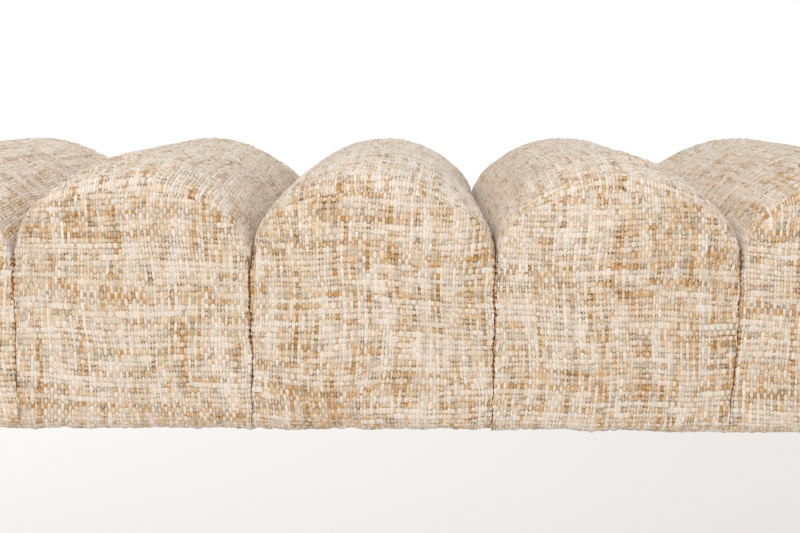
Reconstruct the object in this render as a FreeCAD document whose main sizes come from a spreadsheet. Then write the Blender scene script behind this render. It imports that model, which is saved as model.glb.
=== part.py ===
# Upholstered bench: a row of arched, loaf-shaped seat segments on a timber frame with four turned legs.
# Millimetres. X runs along the bench, Y from its front to its back, Z up from the floor.
import FreeCAD
import Part
import Sketcher
import os
import re

# Counts and shares
SEGMENT_COUNT = 7
CROSS_RAIL_STEPS = {"left": -1, "right": 1}  # segments from the middle one
ROLL_SHARES = (0.0, 0.2, 0.5, 1.0)  # stations of a soft face's roll-off, counted inwards from the face
BEVEL_SHARES = (0.0, 1.0)  # stations of a cut foam edge
DROP_POWER = 3  # how quickly the crown's fall at a face dies away
TUCK_POWER = 4  # how quickly the draw-in of the sides dies away
DOWEL_HEIGHT_SHARES = (0.25, 0.75)
LONG_SCREW_HEIGHT_SHARE = 0.35  # of a corner block, for the screws through the long rails
END_SCREW_HEIGHT_SHARE = 0.65  # of a corner block, for the screws through the end rails
DECK_SCREW_SHARES = (-0.78, -0.45, 0.0, 0.45, 0.78)  # of half the frame's length

# Driving sizes
SIZES = (
    ("segment_pitch", "200", "width of a segment, crease to crease"),
    ("seat_depth", "460", "front face to back face"),
    ("body_height", "228", "underside of the cover to the crown"),
    ("floor_clearance", "222", "floor to the underside of the cover"),
    ("crown_rise", "78", "top of the arch above the place where its sides begin to curve"),
    ("crown_lift", "20", "top of the arch above its shoulder circles"),
    ("face_drop", "15", "fall of the crown at the front and back faces"),
    ("face_tuck", "2.5", "draw-in of the sides and the hem at the faces"),
    ("face_roll", "60", "distance from a face over which its edge rolls off"),
    ("cover_thickness", "2.4", "woven cover"),
    ("wrap_thickness", "8", "fibre wrap"),
    ("pad_thickness", "22", "foam on the outside of the rails"),
    ("layer_gap", "0.3", "clearance between soft layers"),
    ("hem_short", "3", "hem stops short of the inside of the rail it turns under"),
    ("tape_thickness", "1.6", "listing tape"),
    ("tape_gap", "0.7", "clearance of a tape between two covers"),
    ("tape_rise", "26", "tape above the deck"),
    ("tape_fold", "26", "tape folded flat under the deck"),
    ("tape_margin", "20", "end of a tape from the inside of a rail"),
    ("slot_gap", "0.5", "clearance of a tape in its slot"),
    ("rail_height", "80", "frame rails"),
    ("rail_thickness", "22", "frame rails"),
    ("deck_thickness", "12", "plywood deck"),
    ("block_height", "55", "corner blocks"),
    ("block_chamfer", "28", "cut across the inner corner of a block"),
    ("leg_margin", "10", "leg from the inside of the rails"),
    ("leg_top_radius", "24", "leg at the frame"),
    ("leg_foot_radius", "15", "leg at the floor"),
    ("leg_bevel", "2", "bevel round the foot"),
    ("leg_hole_gap", "0.4", "clearance of a leg in the dust cover"),
    ("bolt_radius", "4", "hanger bolt"),
    ("bolt_depth", "45", "hanger bolt in the leg"),
    ("bolt_reach", "4", "hanger bolt above its insert"),
    ("bolt_tip", "3", "taper at both ends of the bolt"),
    ("bolt_tip_radius", "2.2", "end of the bolt"),
    ("insert_radius", "6", "barrel of the threaded insert"),
    ("insert_length", "22", "barrel of the threaded insert"),
    ("flange_radius", "11", "flange of the threaded insert"),
    ("flange_thickness", "1.6", "flange of the threaded insert"),
    ("glide_radius", "12", "glide"),
    ("glide_height", "5", "glide"),
    ("glide_bevel", "1.5", "bevel round the glide"),
    ("nail_radius", "1.4", "nail of the glide"),
    ("nail_length", "15", "nail of the glide"),
    ("dowel_radius", "4", "frame dowel"),
    ("dowel_length", "40", "frame dowel"),
    ("dowel_seat", "14", "dowel in a long rail"),
    ("screw_radius", "2", "shank of a screw"),
    ("screw_head_radius", "4", "countersunk head"),
    ("screw_head_height", "2.5", "countersunk head"),
    ("screw_point", "5", "point of a screw"),
    ("frame_screw_length", "50", "screws of the corner blocks"),
    ("frame_screw_margin", "12", "screw from the edge of a corner block"),
    ("deck_screw_length", "38", "screws of the deck"),
    ("fit_gap", "0.1", "clearance round bolts, dowels, nails and screws"),
    ("end_gap", "1", "clearance past the end of a bolt, dowel, nail or screw"),
    ("dust_thickness", "0.8", "dust cover"),
    ("dust_margin", "7", "edge of the dust cover inside the frame's outline"),
    ("staple_crown", "11", "staple"),
    ("staple_width", "1.3", "staple wire"),
    ("staple_height", "0.7", "staple wire"),
    ("staple_margin", "5", "staples from the edge of the dust cover"),
    ("staple_spacing", "75", "staple to staple"),
    ("overrun", "10", "how far cutting tools run past what they cut"),
)
NAMES = {alias for alias, number, meaning in SIZES}

# Places worked out from the driving sizes
CREASE = "(tape_thickness + 2 * tape_gap)"
HALF_WIDTH = f"((segment_pitch - {CREASE}) / 2)"
HALF_DEPTH = "(seat_depth / 2)"
WRAP_INSET = "(cover_thickness + layer_gap)"
WRAP_INNER_INSET = f"({WRAP_INSET} + wrap_thickness)"
FOAM_INSET = f"({WRAP_INNER_INSET} + layer_gap)"
FRAME_INSET = f"({FOAM_INSET} + pad_thickness)"
HEM_REACH = f"({FRAME_INSET} + rail_thickness - hem_short)"
FRAME_LENGTH = f"({SEGMENT_COUNT} * segment_pitch - {CREASE} - 2 * {FRAME_INSET})"
FRAME_DEPTH = f"(seat_depth - 2 * {FRAME_INSET})"
INNER_DEPTH = f"({FRAME_DEPTH} - 2 * rail_thickness)"
SPRING = "(floor_clearance + body_height - crown_rise)"
FRAME_BOTTOM = f"(floor_clearance + {WRAP_INSET})"
DECK_BOTTOM = f"({FRAME_BOTTOM} + rail_height)"
DECK_TOP = f"({DECK_BOTTOM} + deck_thickness)"
TAPE_LENGTH = f"({INNER_DEPTH} - 2 * tape_margin)"
LEG_INSET = "(rail_thickness + leg_margin + leg_top_radius)"
LEG_X = f"({FRAME_LENGTH} / 2 - {LEG_INSET})"
LEG_Y = f"({FRAME_DEPTH} / 2 - {LEG_INSET})"
LEG_LENGTH = f"({FRAME_BOTTOM} - glide_height)"
BLOCK_SIDE = "(2 * (leg_margin + leg_top_radius))"
BOLT_LENGTH = "(bolt_depth + block_height + flange_thickness + bolt_reach)"
DUST_LENGTH = f"({FRAME_LENGTH} - 2 * dust_margin)"
DUST_DEPTH = f"({FRAME_DEPTH} - 2 * dust_margin)"

SIDES = {"left": -1, "right": 1}
FACES = {"front": -1, "back": 1}
START, END, CENTRE = 1, 2, 3
ORIGIN_POINT, ACROSS_AXIS, UP_AXIS = -1, -1, -2
UP = FreeCAD.Vector(0, 0, 1)
STANDING = FreeCAD.Rotation(FreeCAD.Vector(1, 0, 0), 90)

document = FreeCAD.newDocument("upholstered_bench")
sheet = document.addObject("Spreadsheet::Sheet", "Sizes")
for row, (alias, number, meaning) in enumerate(SIZES, start=1):
    sheet.set(f"A{row}", meaning)
    sheet.set(f"B{row}", number)
    sheet.setAlias(f"B{row}", alias)
document.recompute()
nodes = []


def formula(text):
    """The text with each driving size named by its cell in the sheet."""
    return re.sub(r"[a-z_]+", lambda word: f"Sizes.{word[0]}" if word[0] in NAMES else word[0], str(text))


def value(text):
    return float(sheet.evalExpression(formula(text)))


def bind(item, **formulas):
    for name, text in formulas.items():
        item.setExpression(name, formula(text))


def place(item, x=0, y=0, z=0, turn=None):
    if turn:
        item.Placement = FreeCAD.Placement(FreeCAD.Vector(), turn)
    for axis, text in zip("xyz", (x, y, z)):
        item.setExpression(f"Placement.Base.{axis}", formula(text))


def node(item, label):
    """Marks a finished piece, which gets a file of its own."""
    item.Label = label
    nodes.append(item)
    return item


# Sketches
def hold(sketch, corner, kind, text):
    """Ties a corner's distance from the origin to a formula, or the corner to an axis where it is zero."""
    if text == 0:
        axis = UP_AXIS if kind == "DistanceX" else ACROSS_AXIS
        sketch.addConstraint(Sketcher.Constraint("PointOnObject", corner, START, axis))
        return
    distance = Sketcher.Constraint(kind, ORIGIN_POINT, START, corner, START, value(text))
    sketch.setExpression(f"Constraints[{sketch.addConstraint(distance)}]", formula(text))


def draw_outline(sketch, points):
    """A closed outline of straight lines through points given as pairs of formulas."""
    corners = [FreeCAD.Vector(value(across), value(up), 0) for across, up in points]
    for start, end in zip(corners, corners[1:] + corners[:1]):
        sketch.addGeometry(Part.LineSegment(start, end), False)
    for line in range(len(points)):
        following = (line + 1) % len(points)
        sketch.addConstraint(Sketcher.Constraint("Coincident", line, END, following, START))
    for corner, (across, up) in enumerate(points):
        hold(sketch, corner, "DistanceX", across)
        hold(sketch, corner, "DistanceY", up)
    return sketch


def free_sketch(name):
    sketch = document.addObject("Sketcher::SketchObject", name)
    sketch.Placement = FreeCAD.Placement(FreeCAD.Vector(), STANDING)
    return sketch


def body_sketch(body, name, role):
    sketch = body.newObject("Sketcher::SketchObject", name)
    plane = next(item for item in body.Origin.OriginFeatures if item.Role == role)
    sketch.AttachmentSupport = [(plane, "")]
    sketch.MapMode = "FlatFace"
    return sketch


# Solids used again and again
def box(name, low, size):
    item = document.addObject("Part::Box", name)
    bind(item, Length=size[0], Width=size[1], Height=size[2])
    place(item, *low)
    return item


def turned(name, profile, x, y, z, direction=UP):
    """A solid of revolution whose axis starts at a place and points in a direction."""
    item = document.addObject("Part::Revolution", name)
    item.Source = profile
    item.Axis = UP
    item.Angle = 360
    item.Solid = True
    place(item, x, y, z, FreeCAD.Rotation(UP, direction))
    return item


def joined(kind, name, items):
    item = document.addObject(kind, name)
    if kind == "Part::Compound":
        item.Links = items
    else:
        item.Shapes = items
    return item


def boolean(kind, name, base, tool, x=0):
    item = document.addObject(kind, name)
    item.Base = base
    item.Tool = tool
    place(item, x)
    return item


# Soft forms
def arch_sketch(name, inset, share, face):
    """A segment's arched outline: straight sides, a shoulder arc on each side and a crown arc."""
    drop = f"{(1 - share) ** DROP_POWER} * face_drop"
    tuck = f"{(1 - share) ** TUCK_POWER} * face_tuck"
    half = f"({HALF_WIDTH} - {inset} - {tuck})"
    low = f"(floor_clearance + {inset} + {tuck})"
    shoulder = f"(crown_rise - crown_lift - {inset} - {drop})"
    rise = f"(crown_rise - {inset} - {drop})"
    crown = f"((({half} - {shoulder}) ^ 2 + {rise} ^ 2 - {shoulder} ^ 2) / (2 * crown_lift))"
    sketch = free_sketch(name)
    side, floor, spring = value(half), value(low), value(SPRING)
    turn, top, bow = value(shoulder), value(f"{SPRING} + {rise}"), value(crown)
    join = FreeCAD.Vector(side - turn, spring - (top - bow), 0).normalize()
    lean = join.getAngle(FreeCAD.Vector(1, 0, 0))
    right = Part.Circle(FreeCAD.Vector(side - turn, spring, 0), UP, turn)
    middle = Part.Circle(FreeCAD.Vector(0, top - bow, 0), UP, bow)
    left = Part.Circle(FreeCAD.Vector(turn - side, spring, 0), UP, turn)
    half_turn = FreeCAD.Vector(-1, 0, 0).getAngle(FreeCAD.Vector(1, 0, 0))
    corners = [FreeCAD.Vector(x, z, 0) for x, z in ((-side, floor), (side, floor), (side, spring), (-side, spring))]
    sketch.addGeometry(Part.LineSegment(corners[0], corners[1]), False)
    sketch.addGeometry(Part.LineSegment(corners[1], corners[2]), False)
    sketch.addGeometry(Part.ArcOfCircle(right, 0, lean), False)
    sketch.addGeometry(Part.ArcOfCircle(middle, lean, half_turn - lean), False)
    sketch.addGeometry(Part.ArcOfCircle(left, half_turn - lean, half_turn), False)
    sketch.addGeometry(Part.LineSegment(corners[3], corners[0]), False)
    base, right_side, right_arc, crown_arc, left_arc, left_side = range(6)
    for constraint in (
        Sketcher.Constraint("Coincident", base, END, right_side, START),
        Sketcher.Constraint("Coincident", left_side, END, base, START),
        Sketcher.Constraint("Tangent", right_side, END, right_arc, START),
        Sketcher.Constraint("Tangent", right_arc, END, crown_arc, START),
        Sketcher.Constraint("Tangent", crown_arc, END, left_arc, START),
        Sketcher.Constraint("Tangent", left_arc, END, left_side, START),
        Sketcher.Constraint("Vertical", right_side),
        Sketcher.Constraint("Vertical", left_side),
        Sketcher.Constraint("Symmetric", base, START, base, END, UP_AXIS),
        Sketcher.Constraint("PointOnObject", crown_arc, CENTRE, UP_AXIS),
        Sketcher.Constraint("Equal", right_arc, left_arc),
    ):
        sketch.addConstraint(constraint)
    for constraint, text in (
        (Sketcher.Constraint("DistanceX", base, START, base, END, 2 * side), f"2 * {half}"),
        (Sketcher.Constraint("DistanceY", ORIGIN_POINT, START, base, START, floor), low),
        (Sketcher.Constraint("DistanceY", ORIGIN_POINT, START, right_side, END, spring), SPRING),
        (Sketcher.Constraint("Radius", right_arc, turn), shoulder),
        (Sketcher.Constraint("Radius", crown_arc, bow), crown),
    ):
        sketch.setExpression(f"Constraints[{sketch.addConstraint(constraint)}]", formula(text))
    bind(sketch, **{"Placement.Base.y": f"{face} * ({HALF_DEPTH} - {inset} - {share} * face_roll)"})
    return sketch


def loaf(name, inset, shares):
    """A segment's crowned form, drawn in evenly by inset, whose front and back edges roll off."""
    stations = [(share, FACES["front"]) for share in shares]
    stations += [(share, FACES["back"]) for share in reversed(shares)]
    item = document.addObject("Part::Loft", name)
    item.Sections = [
        arch_sketch(f"{name}_station_{count}", inset, share, face)
        for count, (share, face) in enumerate(stations, start=1)
    ]
    item.Solid = True
    item.Ruled = True
    return item


def under_seat(name, end, reach, low, high):
    """A block under one segment, between the front and back reach, that stops at the bench's ends."""
    left = f"(-1 * {HALF_WIDTH} + {reach})" if end == "left" else "(-1 * segment_pitch)"
    right = f"({HALF_WIDTH} - {reach})" if end == "right" else "segment_pitch"
    depth = f"(seat_depth - 2 * {reach})"
    return box(name, (left, f"-1 * {depth} / 2", low), (f"{right} - {left}", depth, f"{high} - {low}"))


def segment_place(number):
    return f"{number - (SEGMENT_COUNT + 1) / 2} * segment_pitch"


def segment_end(number):
    return {1: "left", SEGMENT_COUNT: "right"}.get(number, "middle")


def make_segments():
    cover_outside = loaf("cover_outside", "0", ROLL_SHARES)
    cover_inside = loaf("cover_inside", "cover_thickness", ROLL_SHARES)
    wrap_outside = loaf("wrap_outside", WRAP_INSET, ROLL_SHARES)
    wrap_inside = loaf("wrap_inside", WRAP_INNER_INSET, BEVEL_SHARES)
    foam = loaf("foam", FOAM_INSET, BEVEL_SHARES)
    cover_tools = {}
    wrap_tools = {}
    for end in ("left", "middle", "right"):
        frame_room = under_seat(f"frame_room_{end}", end, FRAME_INSET, "(floor_clearance + cover_thickness)", DECK_TOP)
        mouth = under_seat(f"mouth_{end}", end, HEM_REACH, "(floor_clearance - overrun)", DECK_TOP)
        cover_tools[end] = joined("Part::MultiFuse", f"cover_tool_{end}", [cover_inside, frame_room, mouth])
        wrap_tools[end] = joined("Part::MultiFuse", f"wrap_tool_{end}", [wrap_inside, frame_room])
    wide = "(2 * segment_pitch)"
    below_deck = f"({DECK_TOP} - floor_clearance)"
    low_corner = ("-1 * segment_pitch", "-1 * seat_depth", "floor_clearance")
    under_deck = box("under_deck", low_corner, (wide, "2 * seat_depth", below_deck))
    pad_depth = f"(seat_depth - {FRAME_DEPTH} / 2)"
    front_room = box("front_room", low_corner, (wide, pad_depth, below_deck))
    back_corner = (low_corner[0], f"{FRAME_DEPTH} / 2", low_corner[2])
    back_room = box("back_room", back_corner, (wide, pad_depth, below_deck))
    front_pads = []
    back_pads = []
    for number in range(1, SEGMENT_COUNT + 1):
        end = segment_end(number)
        x = segment_place(number)
        node(boolean("Part::Cut", f"cover_{number}", cover_outside, cover_tools[end], x), f"seat_cover_{number}")
        node(boolean("Part::Cut", f"wrap_{number}", wrap_outside, wrap_tools[end], x), f"fibre_wrap_{number}")
        node(boolean("Part::Cut", f"core_{number}", foam, under_deck, x), f"foam_core_{number}")
        front_pads.append(boolean("Part::Common", f"front_pad_{number}", foam, front_room, x))
        back_pads.append(boolean("Part::Common", f"back_pad_{number}", foam, back_room, x))
    node(joined("Part::Compound", "front_pad_row", front_pads), "front_pads")
    node(joined("Part::Compound", "back_pad_row", back_pads), "back_pads")
    end_pads = []
    for side, number in (("left", 1), ("right", SEGMENT_COUNT)):
        left = f"({HALF_WIDTH} - {FRAME_INSET})" if side == "right" else "(-1 * segment_pitch)"
        corner = (left, f"-1 * {FRAME_DEPTH} / 2", "floor_clearance")
        length = f"(segment_pitch - {HALF_WIDTH} + {FRAME_INSET})"
        room = box(f"{side}_end_room", corner, (length, FRAME_DEPTH, below_deck))
        end_pads.append(boolean("Part::Common", f"{side}_end_pad", foam, room, segment_place(number)))
    node(joined("Part::Compound", "end_pad_pair", end_pads), "end_pads")


def make_listing_tapes():
    rise = "(tape_thickness + deck_thickness + tape_rise)"
    outline = [
        (0, 0),
        ("tape_fold", 0),
        ("tape_fold", "tape_thickness"),
        ("tape_thickness", "tape_thickness"),
        ("tape_thickness", rise),
        (0, rise),
    ]
    for number in range(1, SEGMENT_COUNT):
        body = document.addObject("PartDesign::Body", f"tape_{number}")
        sketch = draw_outline(body_sketch(body, f"tape_{number}_outline", "XZ_Plane"), outline)
        pad = body.newObject("PartDesign::Pad", f"tape_{number}_pad")
        pad.Profile = sketch
        bind(pad, Length=TAPE_LENGTH)
        crease = f"{number - SEGMENT_COUNT / 2} * segment_pitch"
        place(body, f"{crease} - tape_thickness / 2", f"{TAPE_LENGTH} / 2", f"{DECK_BOTTOM} - tape_thickness")
        node(body, f"listing_tape_{number}")


# Fasteners, each with the hole that it needs
def make_dowels():
    dowels = []
    holes = []
    rails = [f"{step} * segment_pitch" for step in CROSS_RAIL_STEPS.values()]
    rails += [f"{sign} * ({FRAME_LENGTH} - rail_thickness) / 2" for sign in SIDES.values()]
    for x in rails:
        for sign in FACES.values():
            for share in DOWEL_HEIGHT_SHARES:
                outer = f"({INNER_DEPTH} / 2 + dowel_seat)"
                start = f"({outer} - dowel_length)" if sign > 0 else f"(-1 * {outer})"
                z = f"{FRAME_BOTTOM} + {share} * rail_height"
                for items, wider, longer in ((dowels, "0", "0"), (holes, "fit_gap", "end_gap")):
                    item = document.addObject("Part::Cylinder", "dowel")
                    bind(item, Radius=f"dowel_radius + {wider}", Height=f"dowel_length + 2 * {longer}")
                    place(item, x, f"{start} - {longer}", z, FreeCAD.Rotation(UP, FreeCAD.Vector(0, 1, 0)))
                    items.append(item)
    node(joined("Part::Compound", "dowel_set", dowels), "frame_dowels")
    return holes


def screw_profiles(name, length):
    """Outlines of a countersunk screw and of its hole, with the head's top at the start of the axis."""
    profiles = []
    for suffix, wider, longer in (("", "0", "0"), ("_hole", "fit_gap", "end_gap")):
        outline = [
            (0, 0),
            (f"screw_head_radius + {wider}", 0),
            (f"screw_radius + {wider}", "screw_head_height"),
            (f"screw_radius + {wider}", f"{length} - screw_point + {longer}"),
            (0, f"{length} + {longer}"),
        ]
        profiles.append(draw_outline(free_sketch(f"{name}{suffix}"), outline))
    return profiles


def screw_set(name, length, spots):
    screw, hole = screw_profiles(name, length)
    screws = [turned(f"{name}_{count}", screw, *spot) for count, spot in enumerate(spots, start=1)]
    node(joined("Part::Compound", f"{name}_set", screws), f"{name}s")
    return [turned(f"{name}_hole_{count}", hole, *spot) for count, spot in enumerate(spots, start=1)]


def make_frame_screws():
    spots = []
    for side in SIDES.values():
        for face in FACES.values():
            for margin in ("frame_screw_margin", f"({BLOCK_SIDE} - frame_screw_margin)"):
                x = f"{side} * ({FRAME_LENGTH} / 2 - rail_thickness - {margin})"
                z = f"{FRAME_BOTTOM} + {LONG_SCREW_HEIGHT_SHARE} * block_height"
                spots.append((x, f"{face} * {FRAME_DEPTH} / 2", z, FreeCAD.Vector(0, -face, 0)))
                y = f"{face} * ({FRAME_DEPTH} / 2 - rail_thickness - {margin})"
                z = f"{FRAME_BOTTOM} + {END_SCREW_HEIGHT_SHARE} * block_height"
                spots.append((f"{side} * {FRAME_LENGTH} / 2", y, z, FreeCAD.Vector(-side, 0, 0)))
    return screw_set("frame_screw", "frame_screw_length", spots)


def make_deck_screws():
    spots = []
    for face in FACES.values():
        for share in DECK_SCREW_SHARES:
            y = f"{face} * ({FRAME_DEPTH} - rail_thickness) / 2"
            spots.append((f"{share} * {FRAME_LENGTH} / 2", y, DECK_TOP, FreeCAD.Vector(0, 0, -1)))
    return screw_set("deck_screw", "deck_screw_length", spots)


def leg_places():
    for face_name, face in FACES.items():
        for side_name, side in SIDES.items():
            yield f"{face_name}_{side_name}", f"{side} * {LEG_X}", f"{face} * {LEG_Y}"


def leg_set(name, label, outline, z):
    """One turned piece on the axis of each leg, all in one node."""
    profile = draw_outline(free_sketch(name), outline)
    items = [turned(f"{name}_{corner}", profile, x, y, z) for corner, x, y in leg_places()]
    return node(joined("Part::Compound", f"{name}_set", items), label)


def make_leg_fixings():
    leg_set(
        "insert",
        "leg_inserts",
        [
            ("bolt_radius + fit_gap", 0),
            ("insert_radius", 0),
            ("insert_radius", "insert_length"),
            ("flange_radius", "insert_length"),
            ("flange_radius", "insert_length + flange_thickness"),
            ("bolt_radius + fit_gap", "insert_length + flange_thickness"),
        ],
        f"{FRAME_BOTTOM} + block_height - insert_length",
    )
    leg_set(
        "bolt",
        "leg_bolts",
        [
            (0, 0),
            ("bolt_tip_radius", 0),
            ("bolt_radius", "bolt_tip"),
            ("bolt_radius", f"{BOLT_LENGTH} - bolt_tip"),
            ("bolt_tip_radius", BOLT_LENGTH),
            (0, BOLT_LENGTH),
        ],
        f"{FRAME_BOTTOM} - bolt_depth",
    )
    leg_set(
        "glide",
        "glides",
        [
            (0, 0),
            ("glide_radius - glide_bevel", 0),
            ("glide_radius", "glide_bevel"),
            ("glide_radius", "glide_height"),
            ("nail_radius", "glide_height"),
            ("nail_radius", "glide_height + nail_length"),
            (0, "glide_height + nail_length"),
        ],
        0,
    )
    bore = draw_outline(
        free_sketch("block_bore"),
        [
            (0, 0),
            ("bolt_radius + fit_gap", 0),
            ("bolt_radius + fit_gap", "block_height - insert_length"),
            ("insert_radius + fit_gap", "block_height - insert_length"),
            ("insert_radius + fit_gap", "block_height"),
            (0, "block_height"),
        ],
    )
    return [turned(f"block_bore_{corner}", bore, x, y, FRAME_BOTTOM) for corner, x, y in leg_places()]


# Legs
def make_legs():
    nail_depth = "(nail_length + end_gap)"
    floor_of_hole = f"({LEG_LENGTH} - bolt_depth - end_gap)"
    outline = [
        ("nail_radius + fit_gap", 0),
        ("leg_foot_radius - leg_bevel", 0),
        ("leg_foot_radius", "leg_bevel"),
        ("leg_top_radius", LEG_LENGTH),
        ("bolt_radius + fit_gap", LEG_LENGTH),
        ("bolt_radius + fit_gap", floor_of_hole),
        (0, floor_of_hole),
        (0, nail_depth),
        ("nail_radius + fit_gap", nail_depth),
    ]
    for corner, x, y in leg_places():
        body = document.addObject("PartDesign::Body", f"leg_body_{corner}")
        sketch = draw_outline(body_sketch(body, f"leg_outline_{corner}", "XZ_Plane"), outline)
        turning = body.newObject("PartDesign::Revolution", f"leg_turning_{corner}")
        turning.Profile = sketch
        turning.ReferenceAxis = (sketch, ["V_Axis"])
        turning.Angle = 360
        place(body, x, y, "glide_height")
        node(body, f"leg_{corner}")


# Frame
def make_rails(holes):
    z = FRAME_BOTTOM
    length, depth = FRAME_LENGTH, FRAME_DEPTH
    boards = {}
    for name, sign in FACES.items():
        y = f"({sign} * ({depth} - rail_thickness) / 2 - rail_thickness / 2)"
        boards[f"{name}_rail"] = ((f"-1 * {length} / 2", y, z), (length, "rail_thickness", "rail_height"))
    short = ("rail_thickness", INNER_DEPTH, "rail_height")
    for name, sign in SIDES.items():
        x = f"({sign} * ({length} - rail_thickness) / 2 - rail_thickness / 2)"
        boards[f"{name}_end_rail"] = ((x, f"-1 * {INNER_DEPTH} / 2", z), short)
    for name, step in CROSS_RAIL_STEPS.items():
        x = f"({step} * segment_pitch - rail_thickness / 2)"
        boards[f"{name}_cross_rail"] = ((x, f"-1 * {INNER_DEPTH} / 2", z), short)
    for name, (low, size) in boards.items():
        node(boolean("Part::Cut", f"drilled_{name}", box(f"{name}_board", low, size), holes), name)


def make_corner_blocks(holes):
    """Hardwood blocks in the frame's corners, cut across the corner that faces inwards."""
    outline = [
        (0, 0),
        (BLOCK_SIDE, 0),
        (BLOCK_SIDE, f"{BLOCK_SIDE} - block_chamfer"),
        (f"{BLOCK_SIDE} - block_chamfer", BLOCK_SIDE),
        (0, BLOCK_SIDE),
    ]
    quarter_turns = {"front_left": 0, "front_right": 90, "back_right": 180, "back_left": 270}
    for corner, turn in quarter_turns.items():
        body = document.addObject("PartDesign::Body", f"block_body_{corner}")
        sketch = draw_outline(body_sketch(body, f"block_outline_{corner}", "XY_Plane"), outline)
        pad = body.newObject("PartDesign::Pad", f"block_pad_{corner}")
        pad.Profile = sketch
        bind(pad, Length="block_height")
        face, side = corner.split("_")
        x = f"{SIDES[side]} * ({FRAME_LENGTH} / 2 - rail_thickness)"
        y = f"{FACES[face]} * {INNER_DEPTH} / 2"
        place(body, x, y, FRAME_BOTTOM, FreeCAD.Rotation(UP, turn))
        node(boolean("Part::Cut", f"drilled_block_{corner}", body, holes), f"corner_block_{corner}")


def make_deck(holes):
    """Plywood deck with a slot under each crease for the listing tape."""
    body = document.addObject("PartDesign::Body", "deck_body")
    board = [(0, 0), (FRAME_LENGTH, 0), (FRAME_LENGTH, FRAME_DEPTH), (0, FRAME_DEPTH)]
    pad = body.newObject("PartDesign::Pad", "deck_pad")
    pad.Profile = draw_outline(body_sketch(body, "deck_outline", "XY_Plane"), board)
    bind(pad, Length="deck_thickness")
    document.recompute()
    width = "(tape_thickness + 2 * slot_gap)"
    length = f"({TAPE_LENGTH} + 2 * slot_gap)"
    left = f"({FRAME_LENGTH} / 2 - {SEGMENT_COUNT / 2 - 1} * segment_pitch - {width} / 2)"
    near = f"(({FRAME_DEPTH} - {length}) / 2)"
    right, far = f"({left} + {width})", f"({near} + {length})"
    slot = body.newObject("PartDesign::Pocket", "deck_slot")
    slot.Profile = draw_outline(
        body_sketch(body, "slot_outline", "XY_Plane"), [(left, near), (right, near), (right, far), (left, far)]
    )
    slot.Type = "ThroughAll"
    slot.Reversed = True
    document.recompute()
    row = body.newObject("PartDesign::LinearPattern", "deck_slots")
    row.Originals = [slot]
    row.Direction = (slot.Profile[0], ["H_Axis"])
    row.Occurrences = SEGMENT_COUNT - 1
    bind(row, Length=f"{SEGMENT_COUNT - 2} * segment_pitch")
    body.Tip = row
    place(body, f"-1 * {FRAME_LENGTH} / 2", f"-1 * {FRAME_DEPTH} / 2", DECK_BOTTOM)
    node(boolean("Part::Cut", "drilled_deck", body, holes), "seat_deck")


# Underside
def make_dust_cover():
    low = (f"-1 * {DUST_LENGTH} / 2", f"-1 * {DUST_DEPTH} / 2", "floor_clearance - dust_thickness")
    cloth = box("dust_cloth", low, (DUST_LENGTH, DUST_DEPTH, "dust_thickness"))
    openings = []
    for corner, x, y in leg_places():
        opening = document.addObject("Part::Cylinder", f"leg_opening_{corner}")
        bind(opening, Radius="leg_top_radius + leg_hole_gap", Height="dust_thickness + 2 * overrun")
        place(opening, x, y, "floor_clearance - dust_thickness - overrun")
        openings.append(opening)
    node(boolean("Part::Cut", "dust_cut", cloth, joined("Part::MultiFuse", "leg_openings", openings)), "dust_cover")


def staple_row(row_length):
    """Places of evenly spaced staples about the middle of an edge."""
    count = int(value(f"({row_length} - 2 * staple_spacing) / staple_spacing")) + 1
    return [f"{index - (count - 1) / 2} * staple_spacing" for index in range(count)]


def make_staples():
    z = "floor_clearance - dust_thickness - staple_height"
    staples = []
    for sign in FACES.values():
        y = f"{sign} * ({DUST_DEPTH} / 2 - staple_margin) - staple_width / 2"
        for x in staple_row(DUST_LENGTH):
            size = ("staple_crown", "staple_width", "staple_height")
            staples.append(box("staple", (f"{x} - staple_crown / 2", y, z), size))
    for sign in SIDES.values():
        x = f"{sign} * ({DUST_LENGTH} / 2 - staple_margin) - staple_width / 2"
        for y in staple_row(DUST_DEPTH):
            size = ("staple_width", "staple_crown", "staple_height")
            staples.append(box("staple", (x, f"{y} - staple_crown / 2", z), size))
    node(joined("Part::Compound", "staple_set", staples), "dust_cover_staples")


make_segments()
make_listing_tapes()
frame_holes = joined("Part::MultiFuse", "frame_holes", make_dowels() + make_frame_screws() + make_deck_screws())
bores = make_leg_fixings()
block_holes = joined("Part::MultiFuse", "block_holes", [frame_holes] + bores)
make_rails(frame_holes)
make_corner_blocks(block_holes)
make_deck(frame_holes)
make_legs()
make_dust_cover()
make_staples()
document.recompute()

# Checks and export
for item in document.Objects:
    if "Invalid" in item.State or "Error" in item.State:
        raise RuntimeError(f"{item.Name} did not build: {item.State}")
os.makedirs("parts", exist_ok=True)
for item in nodes:
    if item.Shape.isNull() or not item.Shape.isValid():
        raise RuntimeError(f"{item.Label} has no valid shape")
    item.Shape.exportStep(f"parts/{item.Label}.step")
print(f"{len(nodes)} nodes written")
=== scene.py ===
# %% [markdown]
# # A tweed bench made of stuffed loaves
# The bench is a row of seven stuffed segments on a low timber frame with four short legs.
# The construction model gives every piece its place and size. Blender gives the looks:
# soft covers swollen by a cloth simulation, a woven tweed, oak, and studio light.

# %% load the frame
import math

import bmesh
import bpy
import numpy as np
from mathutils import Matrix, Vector, noise


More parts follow.
